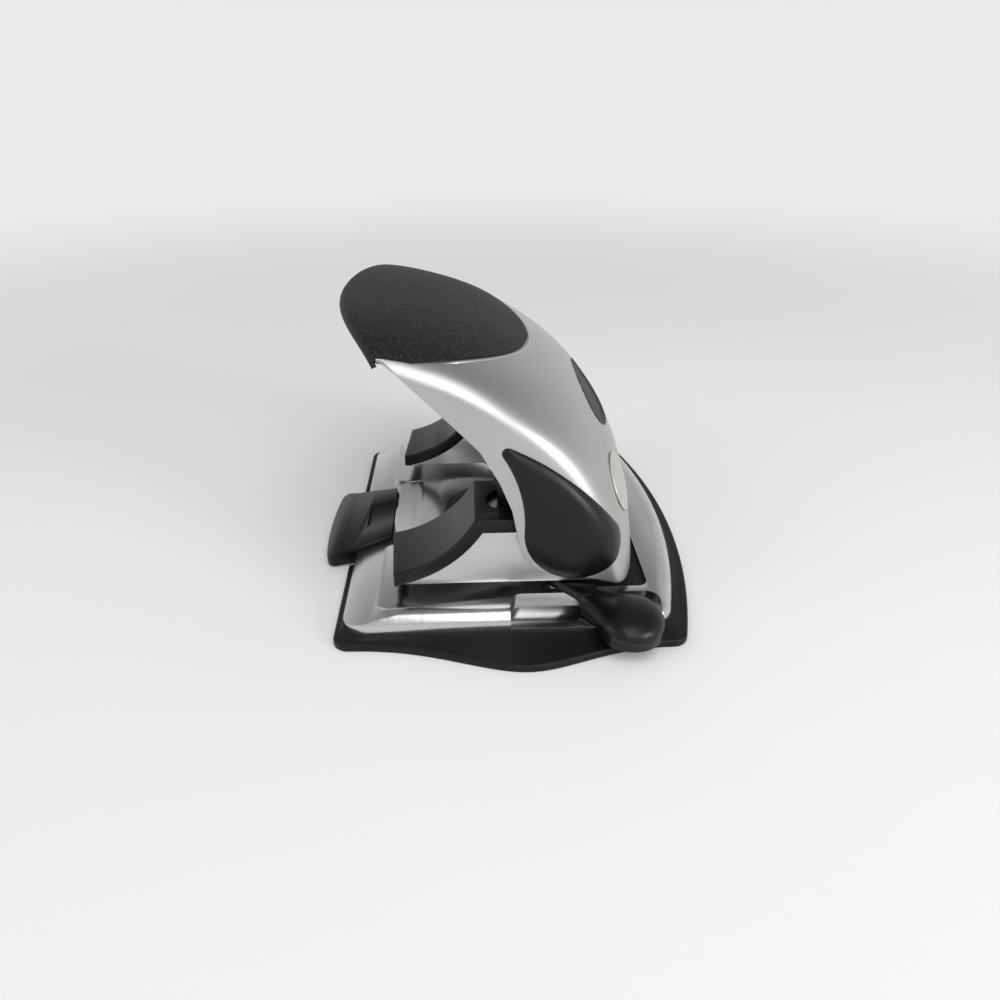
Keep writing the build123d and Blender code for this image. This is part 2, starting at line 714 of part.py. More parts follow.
# Return springs: one unbroken wire each, drawn as pairs of tangent arcs over every quarter turn
spring_low = spring_foot + spring_wire / 2 + seat_clearance
spring_high = clip_bottom - spring_wire / 2 - seat_clearance
spring_pitch = (spring_high - spring_low) / spring_turns
print(f"gap between the spring's turns {spring_pitch - spring_wire:.2f} mm")


def coil_point(turn):
    angle = 2 * pi * turn
    return Vector(head_x + spring_radius * cos(angle), spring_radius * sin(angle), spring_low + spring_pitch * turn)


def coil_heading(turn):
    angle = 2 * pi * turn
    along = 2 * pi * spring_radius
    return Vector(-along * sin(angle), along * cos(angle), spring_pitch).normalized()


with BuildPart() as return_spring_right:
    with BuildLine():
        for quarter in range(4 * spring_turns):
            start = coil_point(quarter / 4)
            end = coil_point((quarter + 1) / 4)
            start_heading = coil_heading(quarter / 4)
            end_heading = coil_heading((quarter + 1) / 4)
            span = end - start
            both = start_heading + end_heading
            bend = 2 * (1 - start_heading.dot(end_heading))
            reach = (sqrt(span.dot(both) ** 2 + bend * span.dot(span)) - span.dot(both)) / bend
            joint = (start + end + (start_heading - end_heading) * reach) * 0.5
            joint_heading = (end - end_heading * reach) - (start + start_heading * reach)
            TangentArc(start, joint, tangent=start_heading)
            TangentArc(joint, end, tangent=joint_heading)
    with BuildSketch(Plane(origin=coil_point(0), z_dir=coil_heading(0))):
        Circle(spring_wire / 2)
    sweep()
keep(return_spring_right, "return_spring_right")

with BuildPart() as return_spring_left:
    with Locations((-hole_spacing, 0, 0)):
        add(return_spring_right.part)
keep(return_spring_left, "return_spring_left")

# Hinge pin and its clips
with BuildPart() as hinge_pin:
    with Locations((0, hinge_y, hinge_z)):
        Cylinder(hinge_diameter / 2, 2 * hinge_half_length, rotation=(0, 90, 0))
    chamfer(hinge_pin.edges().filter_by(GeomType.CIRCLE), 0.5)
keep(hinge_pin, "hinge_pin")

with BuildPart() as hinge_clips:
    for side in (-1, 1):
        with Locations((side * (head_x + cheek_offset + 0.5), hinge_y, hinge_z)):
            Cylinder(hinge_clip_diameter / 2, clip_thickness, rotation=(0, 90, 0))
            Cylinder(hinge_diameter / 2 + running_clearance, 2 * clip_thickness, rotation=(0, 90, 0), mode=Mode.SUBTRACT)
keep(hinge_clips, "hinge_clips")

# Paper stop: channel between the brackets' feet that the sheets are pushed against
stop_half = inner_cheek - seat_clearance
with BuildPart() as paper_stop:
    with BuildSketch(Plane.XY.offset(bed_height + seat_clearance)):
        with Locations((0, hole_margin + sheet / 2)):
            Rectangle(2 * stop_half, sheet)
        with Locations((sheet / 2 - stop_half, hole_margin + 4), (stop_half - sheet / 2, hole_margin + 4)):
            Rectangle(sheet, 8.0)
    extrude(amount=throat - 3 * seat_clearance)
keep(paper_stop, "paper_stop")

# Lock lever: a black teardrop on a short arm, with a post that catches the frame's lug
lock_heading = atan2(lock_reach_y, lock_reach_x)
lock_reach = hypot(lock_reach_x, lock_reach_y)
lock_arm_bottom = bed_height + lock_arm_lift
post_angle = pi / 2 + radians(lock_swing) - lock_heading
post_x = post_offset * cos(post_angle)
post_y = post_offset * sin(post_angle)
neck_start = recess_wall - lock_x + 6.8
neck_end = lock_reach - lock_bulb_radius / 2


def lock_plane(z):
    """Level plane on the lock's pivot with its x along the arm."""
    return Plane(origin=(lock_x, lock_y, z), x_dir=(cos(lock_heading), sin(lock_heading), 0), z_dir=(0, 0, 1))


with BuildPart() as lock_lever:
    with BuildSketch(lock_plane(lock_bulb_bottom)):
        with Locations((lock_reach, 0)):
            Circle(lock_bulb_radius)
    extrude(amount=lock_bulb_top - lock_bulb_bottom)
    fillet(lock_lever.faces().sort_by(Axis.Z)[-1].edges(), lock_bulb_edge)
    with BuildSketch(lock_plane(lock_bulb_bottom)):
        with BuildLine():
            flank = lock_bulb_radius * 0.8
            ThreePointArc((neck_start, -lock_waist), (neck_start + 5, -lock_waist - 1), (neck_end, -flank))
            Polyline((neck_end, -flank), (neck_end, flank))
            ThreePointArc((neck_end, flank), (neck_start + 5, lock_waist + 1), (neck_start, lock_waist))
            Polyline((neck_start, lock_waist), (neck_start, -lock_waist))
        make_face()
    extrude(amount=lock_bulb_top - lock_bulb_bottom - lock_bulb_edge / 4)
    with BuildSketch(lock_plane(lock_arm_bottom)):
        Circle(lock_hub_radius)
        with Locations((post_x, post_y)):
            Circle(post_diameter / 2 + 1)
        with BuildLine():
            Polyline((0, -lock_hub_radius), (neck_start, -lock_waist), (neck_start + 5, 0), (neck_start, lock_waist),
                     (0, lock_hub_radius), (0, -lock_hub_radius))
        make_face()
    extrude(amount=lock_arm_height)
    with BuildSketch(lock_plane(lock_arm_bottom + lock_arm_height)):
        with Locations((post_x, post_y)):
            Circle(post_diameter / 2)
    extrude(amount=post_height)
    with BuildSketch(lock_plane(lock_arm_bottom)):
        Circle(spindle_diameter / 4 + running_clearance)
    extrude(amount=lock_arm_height, mode=Mode.SUBTRACT)
keep(lock_lever, "lock_lever")

# Lock spindle and clip: the lever's pivot in the chassis plate
spindle_bottom = tray_height + 0.3
with BuildPart() as lock_spindle:
    with BuildSketch(lock_plane(spindle_bottom)):
        Circle(spindle_diameter / 2)
    extrude(amount=lock_arm_bottom - spindle_bottom)
    with BuildSketch(lock_plane(lock_arm_bottom)):
        Circle(spindle_diameter / 4)
    extrude(amount=lock_arm_height)
keep(lock_spindle, "lock_spindle")

with BuildPart() as lock_clip:
    with BuildSketch(lock_plane(plate_bottom - 0.8)):
        Circle(spindle_diameter * 0.85)
        Circle(spindle_diameter / 2 + running_clearance, mode=Mode.SUBTRACT)
    extrude(amount=0.6)
keep(lock_clip, "lock_clip")

# Lever frame: steel arms on the hinge pin, a cross plate over them and the lock's lug
arm_out = (0, cos(arm_angle), sin(arm_angle))
arm_gap = roller_width / 2 + 0.5
frame_half = head_x + arm_gap + arm_thickness
hinge_bore = hinge_diameter / 2 + running_clearance
boss_place = (cross_start + cross_end) / 2
boss_sides = (-boss_spread, -boss_spread / 3, boss_spread / 3, boss_spread)
plate_face = arm_width / 2 + cross_thickness


def arm_plane(x):
    """Upright plane at x on the hinge's axis with its x along the arm and its y down."""
    return Plane(origin=(x, hinge_y, hinge_z), x_dir=arm_out, z_dir=(1, 0, 0))


def boss_plane(x, lift):
    """Plane square to the cross plate, lifted from the arm's middle line."""
    along = boss_place
    y = hinge_y + along * cos(arm_angle) + lift * sin(arm_angle)
    z = hinge_z + along * sin(arm_angle) - lift * cos(arm_angle)
    return Plane(origin=(x, y, z), x_dir=(1, 0, 0), z_dir=(0, sin(arm_angle), -cos(arm_angle)))


with BuildPart() as lever_frame:
    for inner in (head_x - arm_gap - arm_thickness, head_x + arm_gap):
        for start in (inner, -inner - arm_thickness):
            with BuildSketch(arm_plane(start)):
                with Locations((arm_length / 2, 0)):
                    Rectangle(arm_length, arm_width)
                Circle(arm_boss_radius)
                with Locations((arm_length, 0)):
                    Circle(arm_tip_radius)
                    Circle(roller_pin_diameter / 2 + running_clearance, mode=Mode.SUBTRACT)
                Circle(hinge_bore, mode=Mode.SUBTRACT)
            extrude(amount=arm_thickness)
    with BuildSketch(arm_plane(-frame_half)):
        with Locations((boss_place, -(arm_width + cross_thickness) / 2)):
            Rectangle(cross_end - cross_start, cross_thickness)
    extrude(amount=2 * frame_half)
    for x in boss_sides:
        with BuildSketch(boss_plane(x, 0)):
            Circle(screw_diameter / 2 + running_clearance)
        extrude(amount=2 * plate_face, mode=Mode.SUBTRACT)
    lug_tilt = -90 - press_angle / 2
    with BuildSketch(Plane.YZ.offset(frame_half)):
        with Locations((hinge_y, hinge_z)):
            Circle(arm_boss_radius)
        with Locations(Location((hinge_y, hinge_z), lug_tilt)):
            Rectangle(lug_reach, lug_thickness, align=(Align.MIN, Align.CENTER))
        with Locations((hinge_y, hinge_z)):
            Circle(hinge_bore, mode=Mode.SUBTRACT)
    extrude(amount=lug_width)
keep(lever_frame, "lever_frame")

# Press rollers and their pins
with BuildPart() as press_roller_right:
    with Locations((head_x, roller_y, roller_z)):
        Cylinder(roller_radius, roller_width, rotation=(0, 90, 0))
        Cylinder(roller_pin_diameter / 2 + running_clearance, 2 * roller_width, rotation=(0, 90, 0), mode=Mode.SUBTRACT)
    chamfer(press_roller_right.edges().filter_by(GeomType.CIRCLE).filter_by(lambda e: e.radius > roller_radius - 0.1), 0.4)
keep(press_roller_right, "press_roller_right")

with BuildPart() as press_roller_left:
    mirror(press_roller_right.part, about=Plane.YZ)
keep(press_roller_left, "press_roller_left")

with BuildPart() as roller_pins:
    for side in (-1, 1):
        with Locations((side * head_x, roller_y, roller_z)):
            Cylinder(roller_pin_diameter / 2, 2 * (arm_gap + arm_thickness + 0.4), rotation=(0, 90, 0))
keep(roller_pins, "roller_pins")

# Frame screws: up through the cross plate into the shell's bosses
with BuildPart() as frame_screws:
    for x in boss_sides:
        with BuildSketch(boss_plane(x, arm_width / 2 - screw_head_height)):
            Circle(screw_head_diameter / 2)
        extrude(amount=screw_head_height)
        with BuildSketch(boss_plane(x, arm_width / 2 - screw_head_height)):
            Circle(screw_diameter / 2)
        extrude(amount=screw_head_height + cross_thickness + 7)
        with BuildSketch(boss_plane(x, arm_width / 2 - screw_head_height)):
            Rectangle(3.6, 0.8)
            Rectangle(0.8, 3.6)
        extrude(amount=0.9, mode=Mode.SUBTRACT)
keep(frame_screws, "frame_screws")


def section_plane(angle):
    """Plane of one section of the fan, its y pointing out from the fan's line."""
    up = radians(angle)
    return Plane(origin=(0, fan_y, fan_z), x_dir=(1, 0, 0), z_dir=(0, -sin(up), cos(up)))


def crown_points(section, skin):
    """Points on the right half of a section, from the crown down to the shoulder's foot, moved out by skin."""
    angle, crown, half, shoulder, power = section
    wide = half + skin
    low = crown - shoulder
    rise = shoulder + skin
    points = [(0, crown + skin)]
    for step in range(5, 0, -1):
        turn = radians(15 * step)
        points.append((wide * cos(turn) ** (2 / power), low + rise * sin(turn) ** (2 / power)))
    points.append((wide, low))
    return points


def hood(skin, floor):
    """The hood's right half as a solid, its side and crown moved out by skin, down to a floor round the fan's line."""
    with BuildPart() as solid:
        for section in hood_sections:
            points = crown_points(section, skin)
            with BuildSketch(section_plane(section[0])):
                with BuildLine():
                    Spline(*points, tangents=((1, 0), (0, -1)))
                    Polyline(points[-1], (points[-1][0], floor), (0, floor), points[0])
                make_face()
        loft()
    return solid.part


def side_region():
    """The handle's side profile as a prism across the whole punch."""
    with BuildPart() as region:
        with BuildSketch(Plane.YZ):
            with BuildLine():
                rim = hinge_z - cheek_rim_radius
                start = (hinge_y - cheek_rim_radius, hinge_z)
                Polyline((2 * hood_front, 83.2), (hood_corner_y, 82.5), (-8.2, 58.1))
                Spline((-8.2, 58.1), (-2.9, 49.0), (0.5, 40.5), start)
                ThreePointArc(start, (hinge_y - cheek_rim_radius * 0.7071, hinge_z - cheek_rim_radius * 0.7141),
                              (hinge_y, rim))
                Polyline((hinge_y, rim), (hinge_y + 6, rim + 0.6), (48.0, 11.0), (90.0, 11.0), (90.0, 120.0),
                         (2 * hood_front, 120.0), (2 * hood_front, 83.2))
            make_face()
        extrude(amount=2 * cover_half_width, both=True)
    return region.part


def front_round(trim):
    """Upright cylinder whose front is the handle's bowed front edge, moved back by trim."""
    with BuildPart() as drum:
        with BuildSketch():
            with Locations((0, hood_front + hood_front_radius)):
                Circle(hood_front_radius - trim)
        extrude(amount=2 * hood_front_radius)
    return drum.part


def grip_region(grow):
    """Right half of the grip pad's plan: a half oval behind, everything in front of it."""
    with BuildPart() as region:
        with BuildSketch():
            with Locations((0, grip_root)):
                Ellipse(grip_half_width + grow, grip_tail - grip_root + grow)
            with Locations((0, 2 * grip_root)):
                Rectangle(2 * (grip_half_width + grow), -2 * grip_root)
            Rectangle(4 * hood_front_radius, 8 * hood_front_radius, align=(Align.MAX, Align.CENTER), mode=Mode.SUBTRACT)
        extrude(amount=2 * hood_front_radius)
    return region.part


def teardrop(y, z, grow):
    """Point of the insert's edge, measured from the hinge, moved out by about grow."""
    share = 1 + grow / insert_bulb_radius
    return hinge_y + y * share, hinge_z + 2.0 + (z - 2.0) * share


def insert_region(grow):
    """Teardrop prism round the hinge, through the right cheek of the hood."""
    with BuildPart() as region:
        with BuildSketch(Plane.YZ.offset(head_x)):
            with BuildLine():
                start = teardrop(-13.9, 1.4, grow)
                heel = teardrop(12.8, -9.5, grow)
                shoulder = teardrop(13.3, 0.5, grow)
                tip = teardrop(-18.0, 27.2, grow)
                tail = teardrop(-20.2, 24.9, grow)
                ThreePointArc(start, teardrop(1.2, -14.9, grow), heel)
                ThreePointArc(heel, teardrop(14.7, -4.6, grow), shoulder)
                ThreePointArc(shoulder, teardrop(-0.5, 16.2, grow), tip)
                ThreePointArc(tip, teardrop(-19.8, 26.9, grow), tail)
                ThreePointArc(tail, teardrop(-15.2, 13.4, grow), start)
            make_face()
        extrude(amount=cover_half_width)
    return region.part


def radial_plane(angle):
    """Plane through the fan's line that faces out at the given angle."""
    up = radians(angle)
    return Plane(origin=(0, fan_y, fan_z), x_dir=(1, 0, 0), z_dir=(0, cos(up), sin(up)))


def dish_region(grow):
    with BuildPart() as region:
        with BuildSketch(radial_plane(dish_angle)):
            Ellipse(dish_half_width + grow, dish_half_length + grow)
        extrude(amount=hood_front_radius)
    return region.part


def badge_region():
    with BuildPart() as region:
        with BuildSketch(radial_plane(badge_angle)):
            with Locations((badge_side, 0)):
                Circle(badge_radius)
        extrude(amount=hood_front_radius)
    return region.part


hood_outer = hood(0, hood_floor_radius)
hood_inner = hood(-hood_wall, hood_floor_radius - 5)
cheek_profile = side_region()

# Handle shell: silver hood with pockets for the grip, the inserts and the dish
groove = 0.3
with BuildPart() as handle_shell:
    add(hood_outer)
    with BuildPart(mode=Mode.PRIVATE) as bosses:
        for x in boss_sides[2:]:
            with BuildSketch(boss_plane(x, plate_face)):
                Circle(boss_diameter / 2)
                Circle(screw_diameter / 2 + running_clearance, mode=Mode.SUBTRACT)
            extrude(amount=40.0)
            with BuildSketch(boss_plane(x, plate_face + 9)):
                Circle(boss_diameter / 2)
            extrude(amount=31.0)
        add(hood(-0.75 * hood_wall, hood_floor_radius), mode=Mode.INTERSECT)
    add(hood_inner, mode=Mode.SUBTRACT)
    add(cheek_profile, mode=Mode.INTERSECT)
    add(front_round(0), mode=Mode.INTERSECT)
    add(grip_region(groove) - hood(-grip_skin, hood_floor_radius - 3), mode=Mode.SUBTRACT)
    add(insert_region(seat_clearance) - hood(-insert_skin, hood_floor_radius - 3), mode=Mode.SUBTRACT)
    add(dish_region(seat_clearance) - hood(-dish_skin, hood_floor_radius - 3), mode=Mode.SUBTRACT)
    add(bosses.part)
    mirror(about=Plane.YZ)
keep(handle_shell, "handle_shell")

# Grip pad: rubber skin in the pocket on the front of the shell
with BuildPart() as grip_pad:
    add(grip_region(0))
    add(cheek_profile, mode=Mode.INTERSECT)
    add(front_round(grip_front_lip), mode=Mode.INTERSECT)
    add(hood(grip_proud, hood_floor_radius), mode=Mode.INTERSECT)
    add(hood(0.02 - grip_skin, hood_floor_radius - 5), mode=Mode.SUBTRACT)
    mirror(about=Plane.YZ)
keep(grip_pad, "grip_pad")

# Side inserts: teardrops in the hood's cheeks
with BuildPart() as side_insert_right:
    add(insert_region(0))
    add(hood(insert_proud, hood_floor_radius), mode=Mode.INTERSECT)
    add(hood(-insert_skin + 0.02, hood_floor_radius - 5), mode=Mode.SUBTRACT)
keep(side_insert_right, "side_insert_right")

with BuildPart() as side_insert_left:
    mirror(side_insert_right.part, about=Plane.YZ)
keep(side_insert_left, "side_insert_left")

# Spine dish: dark oval plate set below the surface of the hood's back
with BuildPart() as spine_dish:
    add(dish_region(0))
    add(hood(-dish_sink, hood_floor_radius), mode=Mode.INTERSECT)
    add(hood(-dish_skin + 0.02, hood_floor_radius - 5), mode=Mode.SUBTRACT)
    mirror(about=Plane.YZ)
keep(spine_dish, "spine_dish")

# Rear badge: bare disc stuck on the right shoulder of the hood's back
with BuildPart() as rear_badge:
    add(badge_region())
    add(hood(badge_proud, hood_floor_radius), mode=Mode.INTERSECT)
    add(hood(0.02, hood_floor_radius - 5), mode=Mode.SUBTRACT)
keep(rear_badge, "rear_badge")
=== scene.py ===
import bpy
from math import atan2, cos, degrees, hypot, inf, pi, radians, sin, sqrt
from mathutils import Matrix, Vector


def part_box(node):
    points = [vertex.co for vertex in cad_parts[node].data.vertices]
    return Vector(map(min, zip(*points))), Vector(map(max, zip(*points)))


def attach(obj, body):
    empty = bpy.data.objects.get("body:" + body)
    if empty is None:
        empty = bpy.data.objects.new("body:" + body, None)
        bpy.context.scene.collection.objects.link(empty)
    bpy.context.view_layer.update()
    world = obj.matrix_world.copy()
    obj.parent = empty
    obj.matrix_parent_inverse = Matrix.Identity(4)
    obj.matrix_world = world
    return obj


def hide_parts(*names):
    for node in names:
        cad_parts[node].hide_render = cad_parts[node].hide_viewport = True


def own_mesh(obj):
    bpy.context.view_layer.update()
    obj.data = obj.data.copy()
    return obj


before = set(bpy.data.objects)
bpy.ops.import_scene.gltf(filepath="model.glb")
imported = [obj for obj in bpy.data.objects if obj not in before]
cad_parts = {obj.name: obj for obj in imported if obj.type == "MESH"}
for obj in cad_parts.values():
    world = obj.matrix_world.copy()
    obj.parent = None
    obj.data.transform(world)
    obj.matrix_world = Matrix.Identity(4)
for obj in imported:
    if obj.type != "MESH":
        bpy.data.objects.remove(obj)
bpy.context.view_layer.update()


# Rubber skirt: one black moulding round the foot that the punch stands on.
# It is soft and dull, with a little dust in its grain, and its edges are rounded by the mould.
class Shade:
    """A shader value. Arithmetic on it adds Math nodes, and node() adds any other kind."""

    def __init__(self, tree, socket):
        self.tree = tree
        self.socket = socket

    def node(self, kind, settings, sockets, output=0):
        """Add a node, with its settings first and then its sockets, and give one of its outputs."""
        made = self.tree.nodes.new(kind)
        for key, value in settings.items():
            if key == "stops":
                for element, (place, colour) in zip(made.color_ramp.elements, value):
                    element.position = place
                    element.color = colour
            else:
                setattr(made, key, value)
        for key, value in sockets.items():
            if isinstance(value, Shade):
                self.tree.links.new(value.socket, made.inputs[key])
            else:
                made.inputs[key].default_value = value
        return Shade(self.tree, made.outputs[output])

    def __add__(self, other):
        return self.node("ShaderNodeMath", {"operation": "ADD"}, {0: self, 1: other})

    def __sub__(self, other):
        return self.node("ShaderNodeMath", {"operation": "SUBTRACT"}, {0: self, 1: other})

    def __rsub__(self, other):
        return self.node("ShaderNodeMath", {"operation": "SUBTRACT"}, {0: other, 1: self})

    def __mul__(self, other):
        return self.node("ShaderNodeMath", {"operation": "MULTIPLY"}, {0: self, 1: other})

    __radd__ = __add__
    __rmul__ = __mul__

    def noise(self, scale, detail=2.0, stretch=(1, 1, 1)):
        """Clouds from 0 to 1, so many a metre, drawn out along an axis where stretch is small."""
        spread = self.node("ShaderNodeMapping", {}, {"Vector": self, "Scale": stretch})
        sockets = {"Vector": spread, "Scale": scale, "Detail": detail}
        return self.node("ShaderNodeTexNoise", {}, sockets, "Fac")

    def blend(self, low, high):
        """Colour that goes from low to high as this value goes from 0 to 1."""
        return self.node("ShaderNodeMix", {"data_type": "RGBA"}, {0: self, 6: (*low, 1), 7: (*high, 1)}, 2)


def new_finish(name):
    """A material with its shader node and the piece's own coordinates in metres."""
    material = bpy.data.materials.new(name)
    material.use_nodes = True
    shader = material.node_tree.nodes["Principled BSDF"]
    coordinates = material.node_tree.nodes.new("ShaderNodeTexCoord")
    return material, shader, Shade(material.node_tree, coordinates.outputs["Object"])


def feed(shader, **values):
    """Link shader values to the sockets of that name, or set them where they are plain numbers."""
    for key, value in values.items():
        socket = shader.inputs[key.replace("_", " ").title().replace("Ior", "IOR")]
        if isinstance(value, Shade):
            value.tree.links.new(value.socket, socket)
        else:
            socket.default_value = value


def grain(shader, height, depth):
    """Press a height pattern into the surface, so many metres deep."""
    bump = height.node("ShaderNodeBump", {}, {"Height": height, "Distance": depth, "Strength": 1.0})
    height.tree.links.new(bump.socket, shader.inputs["Normal"])


def softened(node, edge, name, material, sharp=40):
    """A copy of a CAD piece with its seams merged and its sharp edges rounded."""
    bpy.ops.object.select_all(action="DESELECT")
    piece = bpy.data.objects.new(name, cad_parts[node].data.copy())
    bpy.context.scene.collection.objects.link(piece)
    bpy.context.view_layer.objects.active = piece
    piece.select_set(True)
    bpy.ops.mesh.customdata_custom_splitnormals_clear()
    bpy.ops.object.mode_set(mode="EDIT")
    bpy.ops.mesh.select_all(action="SELECT")
    bpy.ops.mesh.remove_doubles(threshold=0.000004)
    bpy.ops.mesh.dissolve_limited(angle_limit=radians(0.6))
    bpy.ops.object.mode_set(mode="OBJECT")
    if edge:
        bevel = piece.modifiers.new("edge", "BEVEL")
        bevel.width = edge
        bevel.segments = 2
        bevel.angle_limit = radians(sharp)
        bevel.use_clamp_overlap = True
        bpy.ops.object.modifier_apply(modifier="edge")
    bpy.ops.object.shade_smooth_by_angle(angle=radians(38))
    piece.data.materials.clear()
    piece.data.materials.append(material)
    return piece


skirt_rubber, shader, place = new_finish("skirt_rubber")
dust = place.noise(55, 3)
fine = place.noise(2600, 2)
feed(shader, base_color=(dust * 0.7 + fine * 0.3).blend((0.002, 0.002, 0.0023), (0.010, 0.010, 0.0105)),
     roughness=dust * 0.14 + 0.42, specular_ior_level=0.25)
grain(shader, fine, 0.00006)
skirt = softened("base_skirt", 0.0005, "skirt_moulding", skirt_rubber)
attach(skirt, "base")
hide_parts("base_skirt")


# Deck: the base's pressed metal cover, polished bright, with fine rubbing marks and faint finger smears.
# Its edges are rolled, so the rims of the well and the recess catch the light.
polished_deck, shader, place = new_finish("polished_deck")
rub = place.noise(900, 2, (1, 0.05, 1))
smear = place.noise(42, 3)
feed(shader, base_color=smear.blend((0.53, 0.53, 0.525), (0.64, 0.64, 0.63)), metallic=1.0,
     roughness=smear * 0.10 + rub * 0.04 + 0.15)
grain(shader, rub, 0.000003)
deck = softened("base_cover", 0.00028, "deck_shell", polished_deck)
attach(deck, "base")
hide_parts("base_cover")


# Chassis plate, paper stop and lever frame: pressed steel under satin black paint.
# The plate is the base's chassis, paper is pushed against the stop, and the frame turns inside the hood.
black_steel, shader, place = new_finish("black_steel")
orange_peel = place.noise(1400, 2)
feed(shader, base_color=place.noise(60, 2).blend((0.006, 0.006, 0.0065), (0.014, 0.014, 0.0145)),
     roughness=orange_peel * 0.15 + 0.4, specular_ior_level=0.2)
grain(shader, orange_peel, 0.00002)
for node, body in (("base_plate", "base"), ("paper_stop", "base"), ("lever_frame", "handle")):
    plate = softened(node, 0.0002, node + "_pressing", black_steel)
    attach(plate, body)
    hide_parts(node)


# Round inlay in the bed between the heads: a black ring with a bright metal plate inside it.
# The ring's black is painted shade for the dark inside of the round hole round the plate.
# It has the porous finish of the black mouldings, and the plate is brushed from front to back.
black_plastic, shader, place = new_finish("black_plastic")
pores = place.noise(2600, 2)
wear = place.noise(90, 3)
feed(shader, base_color=(wear * 0.4 + pores * 0.6).blend((0.0005, 0.0005, 0.0006), (0.006, 0.006, 0.0065)),
     roughness=wear * 0.06 + pores * 0.16 + 0.22, specular_ior_level=0.32)
grain(shader, pores, 0.00004)
# Painted shade: the ring takes the black finish to stand for the shade inside its hole.
ring = softened("centre_ring", 0.00015, "inlay_ring_painted_shade", black_plastic)
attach(ring, "base")
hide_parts("centre_ring")

bright_inlay, shader, place = new_finish("bright_inlay")
brushed = place.noise(1600, 2, (1, 0.04, 1))
feed(shader, base_color=brushed.blend((0.62, 0.62, 0.61), (0.78, 0.78, 0.77)), metallic=1.0,
     roughness=brushed * 0.12 + 0.2)
grain(shader, brushed, 0.00001)
disc = softened("centre_disc", 0.00015, "inlay_disc", bright_inlay)
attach(disc, "base")
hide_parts("centre_disc")


# Chip tray and its front tab: black mouldings that swing down together to be emptied.
# The tray is duller than the tab, which has a thumb dish and well rounded edges.
tray_plastic, shader, place = new_finish("tray_plastic")
flow = place.noise(70, 3)
feed(shader, base_color=flow.blend((0.009, 0.009, 0.0095), (0.019, 0.019, 0.020)),
     roughness=flow * 0.15 + 0.48, specular_ior_level=0.35)
grain(shader, place.noise(2400, 2), 0.00004)
tray = softened("chip_tray", 0.0003, "tray_pan", tray_plastic)
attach(tray, "tray")
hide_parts("chip_tray")
tab = softened("tray_tab", 0.0008, "tray_thumb_tab", black_plastic, 30)
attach(tab, "tray")
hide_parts("tray_tab")


# Heads: folded bright steel brackets, each under a black moulded cap.
# The steel keeps the marks of its rolling, and the cap's front is a concave ramp with rounded edges.
bright_steel, shader, place = new_finish("bright_steel")
drawn = place.noise(1500, 2, (1, 0.04, 1))
cloud = place.noise(70, 3)
feed(shader, base_color=cloud.blend((0.55, 0.55, 0.54), (0.64, 0.64, 0.63)), metallic=1.0,
     roughness=drawn * 0.08 + cloud * 0.06 + 0.27)
grain(shader, drawn, 0.000003)
for side in ("left", "right"):
    bracket = softened("head_bracket_" + side, 0.00025, "bracket_fold_" + side, bright_steel)
    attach(bracket, "base")
    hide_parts("head_bracket_" + side)
    cap = softened("head_cap_" + side, 0.00035, "cap_moulding_" + side, black_plastic)
    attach(cap, "base")
    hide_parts("head_cap_" + side)


# Guides, dies, hinge, rollers, lock spindle, tray pins and screws: turned and pressed steel, zinc bright.
# Their solids have the real shape already, so each only takes the finish of the brackets.
def refinish(node, material):
    """Give a CAD piece that stays as it is another finish."""
    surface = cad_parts[node].data
    surface.materials.clear()
    surface.materials.append(material)


steel_pieces = (
    "guide_plate_left", "guide_plate_right", "die_left", "die_right", "hinge_pin", "hinge_clips",
    "press_roller_left", "press_roller_right", "roller_pins", "lock_spindle", "lock_clip",
    "tray_hinge_pins", "frame_screws", "bracket_screws", "base_screws")
for node in steel_pieces:
    refinish(node, bright_steel)


# Cutters, their rings and the return springs: hardened steel, made near black as painted shade for the
# caps' dark holes.
# Each spring is one length of wire that stands on its guide plate.
spring_steel, shader, place = new_finish("spring_steel")
wire = place.noise(700, 2, (1, 1, 0.2))
# Painted shade: the near black colour stands for the shade inside the caps' holes where these parts sit.
feed(shader, base_color=wire.blend((0.02, 0.02, 0.022), (0.05, 0.05, 0.053)), metallic=1.0,
     roughness=wire * 0.15 + 0.34)
grain(shader, wire, 0.00001)
for side in ("left", "right"):
    refinish("punch_pin_" + side, spring_steel)
    refinish("pin_clip_" + side, spring_steel)
    coil = softened("return_spring_" + side, 0, "coil_" + side, spring_steel)
    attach(coil, "base")
    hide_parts("return_spring_" + side)
    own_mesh(coil)


# Hood of the handle: one broad silver shell, 2 mm thick, that turns on the hinge pin.
# It is lacquered plastic with a satin metallic finish, so highlights are wide and soft.
# Its sections fan out from one line under it, and its sizes are in millimetres and degrees.
mm = 0.001
fan_y, fan_z = -14.0, 14.0

# Fan angle, crown radius, half width, shoulder height and squareness of each section, from back to front.
hood_sections = (
    (-8.0, 55.6, 56.0, 9.6, 2.1),
    (15.0, 56.3, 56.0, 13.3, 2.1),
    (35.0, 58.9, 56.0, 15.3, 2.1),
    (55.0, 61.5, 56.0, 15.4, 2.2),
    (75.0, 65.0, 55.6, 14.1, 2.4),
    (95.0, 72.1, 53.0, 13.3, 2.7),
    (112.0, 81.1, 51.0, 12.9, 3.0),
    (126.0, 88.3, 50.0, 14.3, 3.2),
)
section_steps = 60

# Lower edge of the cheeks in the side view, as y and z, from the rear corner to the front.
cheek_edge = (
    (24.0, 17.1), (18.0, 16.5), (12.0, 17.7), (6.8, 21.1), (3.3, 26.3), (2.1, 32.4),
    (0.5, 40.5), (-2.9, 49.0), (-8.2, 58.1), (-33.0, 82.5), (-60.0, 82.8))
cheek_rear_angle = 4.7
rear_edge_y, rear_edge_z = cheek_edge[0]
rear_edge_drop, rear_edge_run = 6.1, 24.0
rear_search = (12.0, -7.5)

